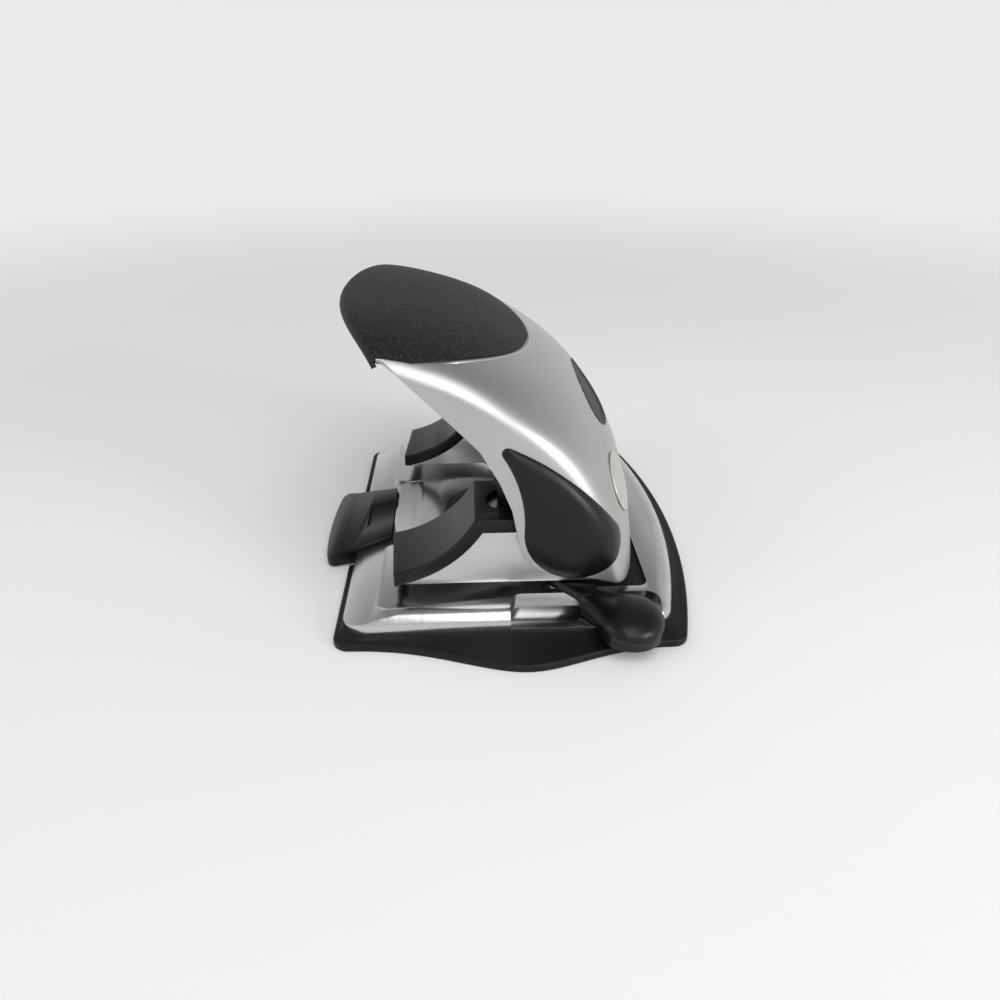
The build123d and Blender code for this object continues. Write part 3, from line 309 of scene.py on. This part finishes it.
# The front edge is an arc in plan, and the dish has an oval seat on the back.
front_bow_y, front_bow_radius = 52.4, 100.0
front_search = (88.0, 125.0)
dish_angle = 43.5
dish_half_width, dish_half_height = 25.0, 8.5
dish_seat_depth, dish_seat_slope = 1.9, 0.2


def section_at(angle):
    """Crown radius, half width, shoulder height and squareness of the hood at an angle of the fan."""
    last = len(hood_sections) - 1
    at = max(i for i in range(last) if hood_sections[i][0] <= angle or i == 0)
    before, start, end, after = (hood_sections[min(max(i, 0), last)] for i in (at - 1, at, at + 1, at + 2))
    span = end[0] - start[0]
    part = (angle - start[0]) / span
    values = []
    for i in range(1, 5):
        rise_in = (end[i] - before[i]) / (end[0] - before[0]) * span
        rise_out = (after[i] - start[i]) / (after[0] - start[0]) * span
        values.append((2 * part**3 - 3 * part**2 + 1) * start[i] + (part**3 - 2 * part**2 + part) * rise_in
                      + (3 * part**2 - 2 * part**3) * end[i] + (part**3 - part**2) * rise_out)
    return values


def fan_point(x, radius, angle):
    """Point at a distance from the fan's line, where the fan stands at an angle."""
    return x, fan_y + radius * cos(radians(angle)), fan_z + radius * sin(radians(angle))


def cheek_radius(angle):
    """How far from the fan's line the cheek's lower edge is at an angle."""
    angle = max(angle, cheek_rear_angle)
    along = (cos(radians(angle)), sin(radians(angle)))
    for (y0, z0), (y1, z1) in zip(cheek_edge, cheek_edge[1:]):
        side0 = along[0] * (z0 - fan_z) - along[1] * (y0 - fan_y)
        side1 = along[0] * (z1 - fan_z) - along[1] * (y1 - fan_y)
        if side0 <= 0 <= side1 and side1 > side0:
            part = -side0 / (side1 - side0)
            y = y0 + part * (y1 - y0) - fan_y
            z = z0 + part * (z1 - z0) - fan_z
            return hypot(y, z)
    return hypot(rear_edge_y - fan_y, rear_edge_z - fan_z)


def hood_at(angle, across):
    """Point on the hood: across runs from 0 at the cheek's lower edge to 1 at the crown."""
    crown, wide, shoulder, power = section_at(angle)
    low = crown - shoulder
    foot = cheek_radius(angle)
    above = min(max(foot - low, 0.0) / shoulder, 1.0)
    line = [(wide * (1 - above**power) ** (1 / power), foot)]
    for step in range(section_steps + 1):
        turn = radians(90 * step / section_steps)
        radius = low + shoulder * sin(turn) ** (2 / power)
        if radius > foot:
            line.append((wide * max(cos(turn), 0.0) ** (2 / power), radius))
    lengths = [hypot(b[0] - a[0], b[1] - a[1]) for a, b in zip(line, line[1:])]
    goal = across * sum(lengths)
    x, radius = line[-1]
    for (a, b), length in zip(zip(line, line[1:]), lengths):
        if goal <= length:
            part = goal / length
            x = a[0] + part * (b[0] - a[0])
            radius = a[1] + part * (b[1] - a[1])
            break
        goal -= length
    return fan_point(x, radius, angle)


def dish_share(x, y, z):
    """How far a point of the hood's back is from the dish's middle, 1 being the dish's rim."""
    turn = radians(dish_angle)
    along = (z - fan_z) * cos(turn) - (y - fan_y) * sin(turn)
    behind = (y - fan_y) * cos(turn) + (z - fan_z) * sin(turn)
    return hypot(x / dish_half_width, along / dish_half_height) if behind > 0 else inf


def front_gap(angle, across):
    """Positive while the hood is still behind its bowed front edge."""
    x, y, z = hood_at(angle, across)
    return y - (front_bow_y - sqrt(front_bow_radius**2 - x * x))


def rear_gap(angle, across):
    """Positive while the hood is still above its rear lower edge."""
    x, y, z = hood_at(angle, across)
    return z - (rear_edge_z - (y - rear_edge_y) * rear_edge_drop / rear_edge_run)


def crossing(test, inside, outside, across):
    """Angle at which a gap closes, between one inside and one outside."""
    for step in range(24):
        middle = (inside + outside) / 2
        if test(middle, across) > 0:
            inside = middle
        else:
            outside = middle
    return inside


def face_outwards():
    """Make the faces of the active piece point the same way, which is outwards on a closed form."""
    bpy.ops.object.mode_set(mode="EDIT")
    bpy.ops.mesh.select_all(action="SELECT")
    bpy.ops.mesh.normals_make_consistent(inside=False)
    bpy.ops.object.mode_set(mode="OBJECT")


def wall_and_rim(piece, thickness):
    """Give a sheet its wall, inwards from its face, and round the edges of its rim."""
    wall = piece.modifiers.new("wall", "SOLIDIFY")
    wall.thickness = thickness
    wall.offset = -1
    wall.use_even_offset = False
    bpy.ops.object.modifier_apply(modifier="wall")
    rim = piece.modifiers.new("rim", "BEVEL")
    rim.width = 0.0005
    rim.segments = 3
    rim.angle_limit = radians(50)
    bpy.ops.object.modifier_apply(modifier="rim")
    bpy.ops.object.shade_smooth_by_angle(angle=radians(50))


bpy.ops.object.select_all(action="DESELECT")
bpy.ops.mesh.primitive_grid_add(x_subdivisions=130, y_subdivisions=120, size=2)
shell = bpy.context.active_object
shell.name = "hood_shell"
limits = {}
for vertex in shell.data.vertices:
    across = round(1 - abs(vertex.co.x), 4)
    if across not in limits:
        rear_end = crossing(rear_gap, *rear_search, across)
        front_end = crossing(front_gap, *front_search, across)
        limits[across] = (rear_end, front_end)
    rear, front = limits[across]
    angle = rear + (front - rear) * (vertex.co.y + 1) / 2
    x, y, z = hood_at(angle, across)
    sink = dish_seat_depth * min(max((1.0 - dish_share(x, y, z)) / dish_seat_slope, 0.0), 1.0)
    y -= sink * cos(radians(angle))
    z -= sink * sin(radians(angle))
    vertex.co = Vector((x if vertex.co.x > 0 else -x, y, z)) * mm
face_outwards()
wall_and_rim(shell, 0.002)

satin_silver, shader, place = new_finish("satin_silver")
flake = place.noise(5200, 2)
sheen = place.noise(45, 3)
feed(shader, base_color=(flake * 0.35 + sheen * 0.65).blend((0.44, 0.44, 0.435), (0.56, 0.56, 0.55)),
     metallic=1.0, roughness=flake * 0.08 + sheen * 0.06 + 0.31, coat_weight=0.15, coat_roughness=0.15)
grain(shader, flake, 0.000006)
shell.data.materials.append(satin_silver)
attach(shell, "handle")
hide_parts("handle_shell")


# Screw bosses inside the hood: four plain posts, moulded with the shell in the same silver plastic.
# They lean back from the steel frame, which is screwed to their ends, to the hood's back.
boss_foot_y, boss_foot_z = 11.37, 45.97
boss_tilt = radians(44.64)
boss_parts = []
for x, length in ((-24, 16.6), (-8, 17.9), (8, 17.9), (24, 16.6)):
    bpy.ops.object.select_all(action="DESELECT")
    middle_y = boss_foot_y + sin(boss_tilt) * length / 2
    middle_z = boss_foot_z + cos(boss_tilt) * length / 2
    middle = Vector((x, middle_y, middle_z)) * mm
    bpy.ops.mesh.primitive_cylinder_add(vertices=40, radius=0.004, depth=length * mm, location=middle,
                                        rotation=(-boss_tilt, 0, 0))
    boss_parts.append(bpy.context.active_object)
for boss in boss_parts:
    boss.select_set(True)
bpy.ops.object.join()
bosses = bpy.context.active_object
bosses.name = "hood_bosses"
bpy.ops.object.transform_apply(location=True, rotation=True, scale=True)
bpy.ops.object.shade_smooth_by_angle(angle=radians(40))
bosses.data.materials.append(satin_silver)
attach(bosses, "handle")


# Grip pad: a soft black rubber skin glued in a shallow pocket on the front of the hood.
# It is dull and finely speckled, slightly proud of the silver, and rolls over the front edge.
# In plan its rear edge is half an oval round a middle ahead of the origin, and its front edge is an arc.
pad_half_width = 49.2
pad_height = 0.5
pad_oval_half, pad_oval_length, pad_oval_front = 50.6, 44.3, 36.0
pad_bow_radius = 99.3
roll_radius, roll_turn, roll_share = 2.2, 115, 0.1


def hood_height(x, y, skin):
    """Height, at a point of the plan, of a skin over the hood."""
    low_angle, high_angle = 30.0, 125.5
    for step in range(26):
        angle = (low_angle + high_angle) / 2
        crown, wide, shoulder, power = section_at(angle)
        share = max(1 - (abs(x) / (wide + skin)) ** power, 0.0) ** (1 / power)
        radius = crown - shoulder + (shoulder + skin) * share
        if fan_y + radius * cos(radians(angle)) > y:
            low_angle = angle
        else:
            high_angle = angle
    return fan_z + radius * sin(radians(angle))


def face_upwards(sheet):
    """Turn all faces of an open sheet upwards."""
    face_outwards()
    if sheet.data.polygons[len(sheet.data.polygons) // 2].normal.z < 0:
        sheet.data.flip_normals()


bpy.ops.object.select_all(action="DESELECT")
bpy.ops.mesh.primitive_grid_add(x_subdivisions=80, y_subdivisions=80, size=2)
pad = bpy.context.active_object
pad.name = "rubber_grip"
for vertex in pad.data.vertices:
    x = pad_half_width * sin(vertex.co.x * pi / 2)
    tail = pad_oval_length * sqrt(1 - (x / pad_oval_half) ** 2) - pad_oval_front
    front = front_bow_y - sqrt(pad_bow_radius**2 - x * x)
    share = (vertex.co.y + 1) / 2
    roll = radians(roll_turn) * max(1 - share / roll_share, 0.0)
    y = front + (tail - front) * max(share - roll_share, 0.0) / (1 - roll_share)
    z = hood_height(x, y, pad_height) - roll_radius * (1 - cos(roll))
    vertex.co = Vector((x, y - roll_radius * sin(roll), z)) * mm
face_upwards(pad)
wall_and_rim(pad, 0.0014)

grip_rubber, shader, place = new_finish("grip_rubber")
rub = place.noise(48, 3)
pimple = place.noise(1300, 2)
fleck = place.node("ShaderNodeTexVoronoi", {}, {"Vector": place, "Scale": 2400.0}, "Color")
fleck = fleck.node("ShaderNodeSeparateColor", {}, {0: fleck}, 0)
fleck = fleck * fleck * fleck * fleck * fleck * fleck
speckle = rub * 0.15 + pimple * 0.15 + fleck * 0.7
feed(shader, base_color=speckle.blend((0.0015, 0.0015, 0.0017), (0.045, 0.045, 0.046)),
     roughness=rub * 0.12 + 0.5, specular_ior_level=0.22)
grain(shader, pimple, 0.00015)
pad.data.materials.append(grip_rubber)
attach(pad, "handle")
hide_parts("grip_pad")


# Lip of the grip's pocket: a fine silver bead round the back of the pad.
# It is part of the hood's moulding, stands square to its surface and sinks away at both ends.
# Across the bead, the distance outwards from the pad's edge and the height over the hood.
lip_profile = (
    (0.05, -0.5), (0.12, 0.05), (0.28, 0.24), (0.50, 0.30), (0.75, 0.22), (1.0, 0.0), (1.25, -0.5))
lip_sweep = 76
lip_sink, sink_from, sink_length = 0.9, 0.8, 0.2

# The hood's slopes are taken between points so far to each side, in y and as a share of x.
nudge, nudge_share = 0.1, 0.002
bpy.ops.object.select_all(action="DESELECT")
bpy.ops.mesh.primitive_grid_add(x_subdivisions=160, y_subdivisions=len(lip_profile) - 1, size=2)
lip = bpy.context.active_object
lip.name = "grip_lip"
for vertex in lip.data.vertices:
    out, rise = lip_profile[round((vertex.co.y + 1) * (len(lip_profile) - 1) / 2)]
    rise -= lip_sink * max(abs(vertex.co.x) - sink_from, 0.0) / sink_length
    turn = radians(90 - lip_sweep * vertex.co.x)
    x = pad_oval_half * cos(turn)
    y = pad_oval_length * sin(turn) - pad_oval_front
    z = hood_height(x, y, 0.0)
    rise_x = hood_height(x * (1 + nudge_share), y, 0.0) - hood_height(x * (1 - nudge_share), y, 0.0)
    rise_y = hood_height(x, y + nudge, 0.0) - hood_height(x, y - nudge, 0.0)
    slope_x = rise_x / (2 * nudge_share * x if x else 1.0)
    slope_y = rise_y / (2 * nudge)
    upright = Vector((-slope_x, -slope_y, 1.0)).normalized()
    outward = Vector((cos(turn), sin(turn), slope_x * cos(turn) + slope_y * sin(turn))).normalized()
    vertex.co = (Vector((x, y, z)) + outward * out + upright * rise) * mm
face_upwards(lip)
bpy.ops.object.shade_smooth()
lip.data.materials.append(satin_silver)
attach(lip, "handle")


# Teardrop inserts: black mouldings snapped into the hood's cheeks, one on each side.
# Their outline is five arcs, and rings drawn in from it make the rounded rim and the domed face.
def cheek_x(y, z, skin):
    """How far out a skin over the hood's cheek stands at a point of the side view."""
    radius = hypot(y - fan_y, z - fan_z)
    crown, wide, shoulder, power = section_at(degrees(atan2(z - fan_z, y - fan_y)))
    above = max(radius - (crown - shoulder), 0.0) / (shoulder + skin)
    return (wide + skin) * max(1 - min(above, 1.0) ** power, 0.0) ** (1 / power)


def arc_through(a, b, c, count):
    """Points on the circle through three points, from the first to the last, which is left out."""
    (ax, ay), (bx, by), (cx, cy) = a, b, c
    square_a, square_b, square_c = ax**2 + ay**2, bx**2 + by**2, cx**2 + cy**2
    area = 2 * (ax * (by - cy) + bx * (cy - ay) + cx * (ay - by))
    centre_x = (square_a * (by - cy) + square_b * (cy - ay) + square_c * (ay - by)) / area
    centre_y = (square_a * (cx - bx) + square_b * (ax - cx) + square_c * (bx - ax)) / area
    first, middle, final = (atan2(y - centre_y, x - centre_x) for x, y in (a, b, c))
    while middle < first:
        middle += 2 * pi
    while final < first:
        final += 2 * pi
    if middle > final:
        final -= 2 * pi
    reach = hypot(ax - centre_x, ay - centre_y)
    turns = [first + (final - first) * i / count for i in range(count)]
    return [(centre_x + reach * cos(turn), centre_y + reach * sin(turn)) for turn in turns]


def ring_stack(name, points, rings):
    """Rings of points, each extruded from the one before, with the last closed. Their places come later."""
    bpy.ops.object.select_all(action="DESELECT")
    bpy.ops.mesh.primitive_circle_add(vertices=points, fill_type="NOTHING")
    stack = bpy.context.active_object
    stack.name = name
    bpy.ops.object.mode_set(mode="EDIT")
    for count in range(rings - 1):
        bpy.ops.mesh.extrude_edges_move()
    bpy.ops.mesh.edge_face_add()
    bpy.ops.object.mode_set(mode="OBJECT")
    return stack


neck, heel, shoulder = (4.1, 33.8), (30.8, 22.9), (31.3, 32.9)
tip, tail = (0.0, 59.6), (-2.2, 57.3)
teardrop = (arc_through(neck, (19.2, 17.5), heel, 44) + arc_through(heel, (32.7, 27.8), shoulder, 14)
            + arc_through(shoulder, (17.5, 48.6), tip, 44) + arc_through(tip, (-1.8, 59.3), tail, 8)
            + arc_through(tail, (2.8, 45.8), neck, 30))
heart_y, heart_z = 16.5, 36.5

# Each ring's size as a share of the outline, and its height over the cheek.
insert_rings = (
    (1.0, -0.8), (1.0, 0.1), (0.99, 0.45), (0.96, 0.8), (0.90, 1.3),
    (0.80, 1.9), (0.65, 2.5), (0.45, 2.95), (0.25, 3.2), (0.10, 3.26))
for side, word in ((-1, "left"), (1, "right")):
    insert = ring_stack("cheek_insert_" + word, len(teardrop), len(insert_rings))
    for index, vertex in enumerate(insert.data.vertices):
        share, skin_height = insert_rings[index // len(teardrop)]
        y, z = teardrop[index % len(teardrop)]
        y = heart_y + (y - heart_y) * share
        z = heart_z + (z - heart_z) * share
        vertex.co = Vector((side * cheek_x(y, z, skin_height), y, z)) * mm
    face_outwards()
    bpy.ops.object.shade_smooth_by_angle(angle=radians(50))
    insert.data.materials.append(black_plastic)
    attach(insert, "handle")
    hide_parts("side_insert_" + word)


# Dish on the hood's back: a shallow dark painted oval bowl with a crisp rim, let into a seat in the shell.
# It is drawn in from its rim, ring by ring, and follows the curve of the hood.
dish_rings = (
    (1.0, -1.0), (1.0, 0.02), (0.985, 0.12), (0.96, 0.08), (0.93, -0.22),
    (0.85, -0.7), (0.70, -1.0), (0.45, -1.2), (0.20, -1.28), (0.05, -1.3))
dish_points = 96
dish_radius = 60
dish = ring_stack("oval_dish", dish_points, len(dish_rings))
for index, vertex in enumerate(dish.data.vertices):
    share, skin_height = dish_rings[index // dish_points]
    turn = 2 * pi * (index % dish_points) / dish_points
    x = dish_half_width * share * cos(turn)
    angle = dish_angle + degrees(dish_half_height * share * sin(turn) / dish_radius)
    crown, wide, shoulder_height, power = section_at(angle)
    crown_share = (1 - (abs(x) / wide) ** power) ** (1 / power)
    radius = crown - shoulder_height + (shoulder_height + skin_height) * crown_share
    vertex.co = Vector(fan_point(x, radius, angle)) * mm
face_outwards()
if dish.data.polygons[-1].normal.y < 0:
    dish.data.flip_normals()
bpy.ops.object.shade_smooth_by_angle(angle=radians(50))
dish.data.materials.append(black_steel)
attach(dish, "handle")
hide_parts("spine_dish")


# Badge: a bare metal disc, stuck beside the dish on the right shoulder of the hood's back.
# Its face has fine turned rings and dull blots, inside a plain border that is a little lower.
border_radius = 0.0076
ring_density = 9000.0
badge_disc, shader, place = new_finish("badge_disc")
low_corner, high_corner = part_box("rear_badge")
badge_middle = (Vector(low_corner) + Vector(high_corner)) / 2
from_middle = place.node("ShaderNodeVectorMath", {"operation": "DISTANCE"}, {0: place, 1: badge_middle}, 1)
spun = from_middle * ring_density
spun = spun.node("ShaderNodeMath", {"operation": "SINE"}, {0: spun}) * 0.5 + 0.5
border = from_middle.node("ShaderNodeMath", {"operation": "GREATER_THAN"},
                          {0: from_middle, 1: border_radius})
blot = place.noise(260, 3)
feed(shader, base_color=(blot * 0.8 + spun * 0.2).blend((0.50, 0.49, 0.45), (0.80, 0.79, 0.75)),
     metallic=1.0, roughness=blot * 0.2 + border * 0.15 + spun * 0.06 + 0.2)
grain(shader, blot * 0.4 - border, 0.00003)
badge = softened("rear_badge", 0.00015, "bare_badge", badge_disc)
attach(badge, "handle")
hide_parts("rear_badge")


# Lock lever: a black teardrop that swings out of the recess in the right flank.
# Its hub and post are one moulding with a thumb bulb, whose domed top runs smoothly up into the neck.
hub = softened("lock_lever", 0.0003, "lock_hub", black_plastic, 30)
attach(hub, "lock")
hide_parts("lock_lever")

# Distance from the spindle, half width, lowest and highest point of each section along the lever.
lock_stations = (
    (-2.9, 0.5, 10.4, 12.2), (-2.4, 1.7, 9.8, 12.7), (-1.0, 2.6, 9.68, 12.85), (3.0, 3.0, 9.66, 12.9),
    (8.0, 3.5, 9.62, 12.9), (10.9, 3.8, 9.2, 12.85), (11.6, 4.0, 6.6, 12.8), (12.4, 4.2, 4.76, 12.7),
    (15.0, 4.9, 4.72, 12.8), (18.0, 6.2, 4.72, 13.1), (20.0, 7.5, 4.72, 13.4), (22.5, 9.1, 4.72, 13.7),
    (25.0, 10.1, 4.72, 13.8), (27.2, 10.4, 4.72, 13.7), (30.0, 10.0, 4.72, 13.3), (32.0, 9.1, 4.74, 12.8),
    (34.0, 7.4, 4.78, 11.9), (35.5, 5.4, 4.9, 10.9), (36.5, 3.0, 5.3, 9.6), (36.9, 1.1, 6.2, 8.2))
lock_points = 48
spindle_x, spindle_y = 47.0, 14.6
heading = radians(47.2)
bulge = 0.95


def bulged(share):
    """A share of a half width, drawn out a little from a plain ellipse."""
    return abs(share) ** bulge * (1 if share > 0 else -1)


bpy.ops.object.select_all(action="DESELECT")
bpy.ops.mesh.primitive_circle_add(vertices=lock_points, fill_type="NGON")
lock = bpy.context.active_object
lock.name = "lock_teardrop"
bpy.ops.object.mode_set(mode="EDIT")
for station in range(len(lock_stations) - 1):
    bpy.ops.mesh.extrude_region_move()
bpy.ops.object.mode_set(mode="OBJECT")
for index, vertex in enumerate(lock.data.vertices):
    along, half, low_z, high_z = lock_stations[index // lock_points]
    turn = 2 * pi * (index % lock_points) / lock_points
    side_share = bulged(cos(turn))
    rise_share = bulged(sin(turn))
    x = spindle_x + along * cos(heading) - half * side_share * sin(heading)
    y = spindle_y + along * sin(heading) + half * side_share * cos(heading)
    z = (low_z + high_z) / 2 + (high_z - low_z) / 2 * rise_share
    vertex.co = Vector((x, y, z)) * mm
face_outwards()
smooth = lock.modifiers.new("smooth", "SUBSURF")
smooth.levels = 1
smooth.render_levels = 1
bpy.ops.object.modifier_apply(modifier="smooth")
bpy.ops.object.shade_smooth_by_angle(angle=radians(60))
lock.data.materials.append(black_plastic)
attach(lock, "lock")


# Floor: a wide matt sheet, pale, that the punch stands on and that keeps its shadow.
# Away from the punch it fades into an even backdrop, for the camera and for what mirrors or lets through.
backdrop = (0.82, 0.822, 0.828, 1)
clear_radius, fade_radius = 0.18, 0.9


def seen_rays(tree):
    """1 for rays from the camera and for those that a surface mirrors or lets through, 0 for the others."""
    rays = tree.nodes.new("ShaderNodeLightPath")
    kinds = ("Is Camera Ray", "Is Glossy Ray", "Is Transmission Ray")
    direct, mirrored, passed = (Shade(tree, rays.outputs[kind]) for kind in kinds)
    return direct + mirrored + passed


bpy.ops.object.select_all(action="DESELECT")
bpy.ops.mesh.primitive_grid_add(x_subdivisions=8, y_subdivisions=8, size=40, location=(0, 0, -0.0002))
floor = bpy.context.active_object
floor.name = "floor"
bpy.ops.object.transform_apply(location=True, rotation=True, scale=True)
pale, shader, place = new_finish("pale_floor")
feed(shader, base_color=place.noise(6, 2).blend((0.84, 0.84, 0.835), (0.87, 0.87, 0.865)), roughness=0.85)
tree = pale.node_tree
away = place.node("ShaderNodeVectorMath", {"operation": "LENGTH"}, {0: place}, 1)
far = away.node("ShaderNodeMapRange", {"interpolation_type": "SMOOTHSTEP"},
                {0: away, 1: clear_radius, 2: fade_radius})
glow = far.node("ShaderNodeEmission", {}, {"Color": backdrop, "Strength": 1.0})
ground = Shade(tree, shader.outputs["BSDF"])
mixed = far.node("ShaderNodeMixShader", {}, {0: far * seen_rays(tree), 1: ground, 2: glow})
tree.links.new(mixed.socket, tree.nodes["Material Output"].inputs["Surface"])
floor.data.materials.append(pale)


# Studio: the backdrop, which darkens overhead, and three soft lamps above, beside and before the punch.
# The camera and the metal see that backdrop, and the rest of the world's light is an even grey.
overhead = (0.30, 0.30, 0.31, 1)
even_grey = (0.50, 0.50, 0.505, 1)
world = bpy.data.worlds.new("studio")
bpy.context.scene.world = world
world.use_nodes = True
tree = world.node_tree
seen = seen_rays(tree)
direction = Shade(tree, tree.nodes.new("ShaderNodeTexCoord").outputs["Generated"])
height = direction.node("ShaderNodeSeparateXYZ", {}, {0: direction}, 2)
ramp = height.node("ShaderNodeValToRGB", {"stops": ((0.05, backdrop), (0.8, overhead))}, {0: height})
mixed = seen.node("ShaderNodeMix", {"data_type": "RGBA"}, {0: seen, 6: even_grey, 7: ramp}, 2)
tree.links.new(mixed.socket, tree.nodes["Background"].inputs["Color"])
tree.nodes["Background"].inputs["Strength"].default_value = 1.0

for name, spot, aim, size, power in (
        ("top_strip", (0.6, 0.2, 0.78), (0, 0.1, 0.04), (0.6, 1.0), 4.8),
        ("side_softbox", (0.56, 0.78, 0.3), (0, 0, 0.04), (0.27, 0.27), 3.0),
        ("front_softbox", (0.3, -0.8, 0.55), (0, 0, 0.04), (0.5, 0.5), 1.6)):
    lamp = bpy.data.lights.new(name, "AREA")
    lamp.shape = "RECTANGLE"
    lamp.size, lamp.size_y = size
    lamp.energy = power
    holder = bpy.data.objects.new(name, lamp)
    holder.location = spot
    holder.rotation_euler = (Vector(aim) - Vector(spot)).to_track_quat("-Z", "Y").to_euler()
    bpy.context.scene.collection.objects.link(holder)


# Camera: it looks at the punch's right side from a little above, as in the photograph.
# Its place, aim and lens were fitted to the photograph with the heads at their real spacing.
camera_place = (0.2417, -0.0111, 0.1484)
camera_aim = (0, -0.0004, 0.0128)
camera = bpy.data.cameras.new("photo_camera")
camera.sensor_width = 36
camera.lens = 27.86
camera.clip_start = 0.01
viewer = bpy.data.objects.new("photo_camera", camera)
viewer.location = camera_place
viewer.rotation_euler = (Vector(camera_aim) - viewer.location).to_track_quat("-Z", "Y").to_euler()
bpy.context.scene.collection.objects.link(viewer)
bpy.context.scene.camera = viewer
bpy.context.scene.view_settings.view_transform = "Standard"
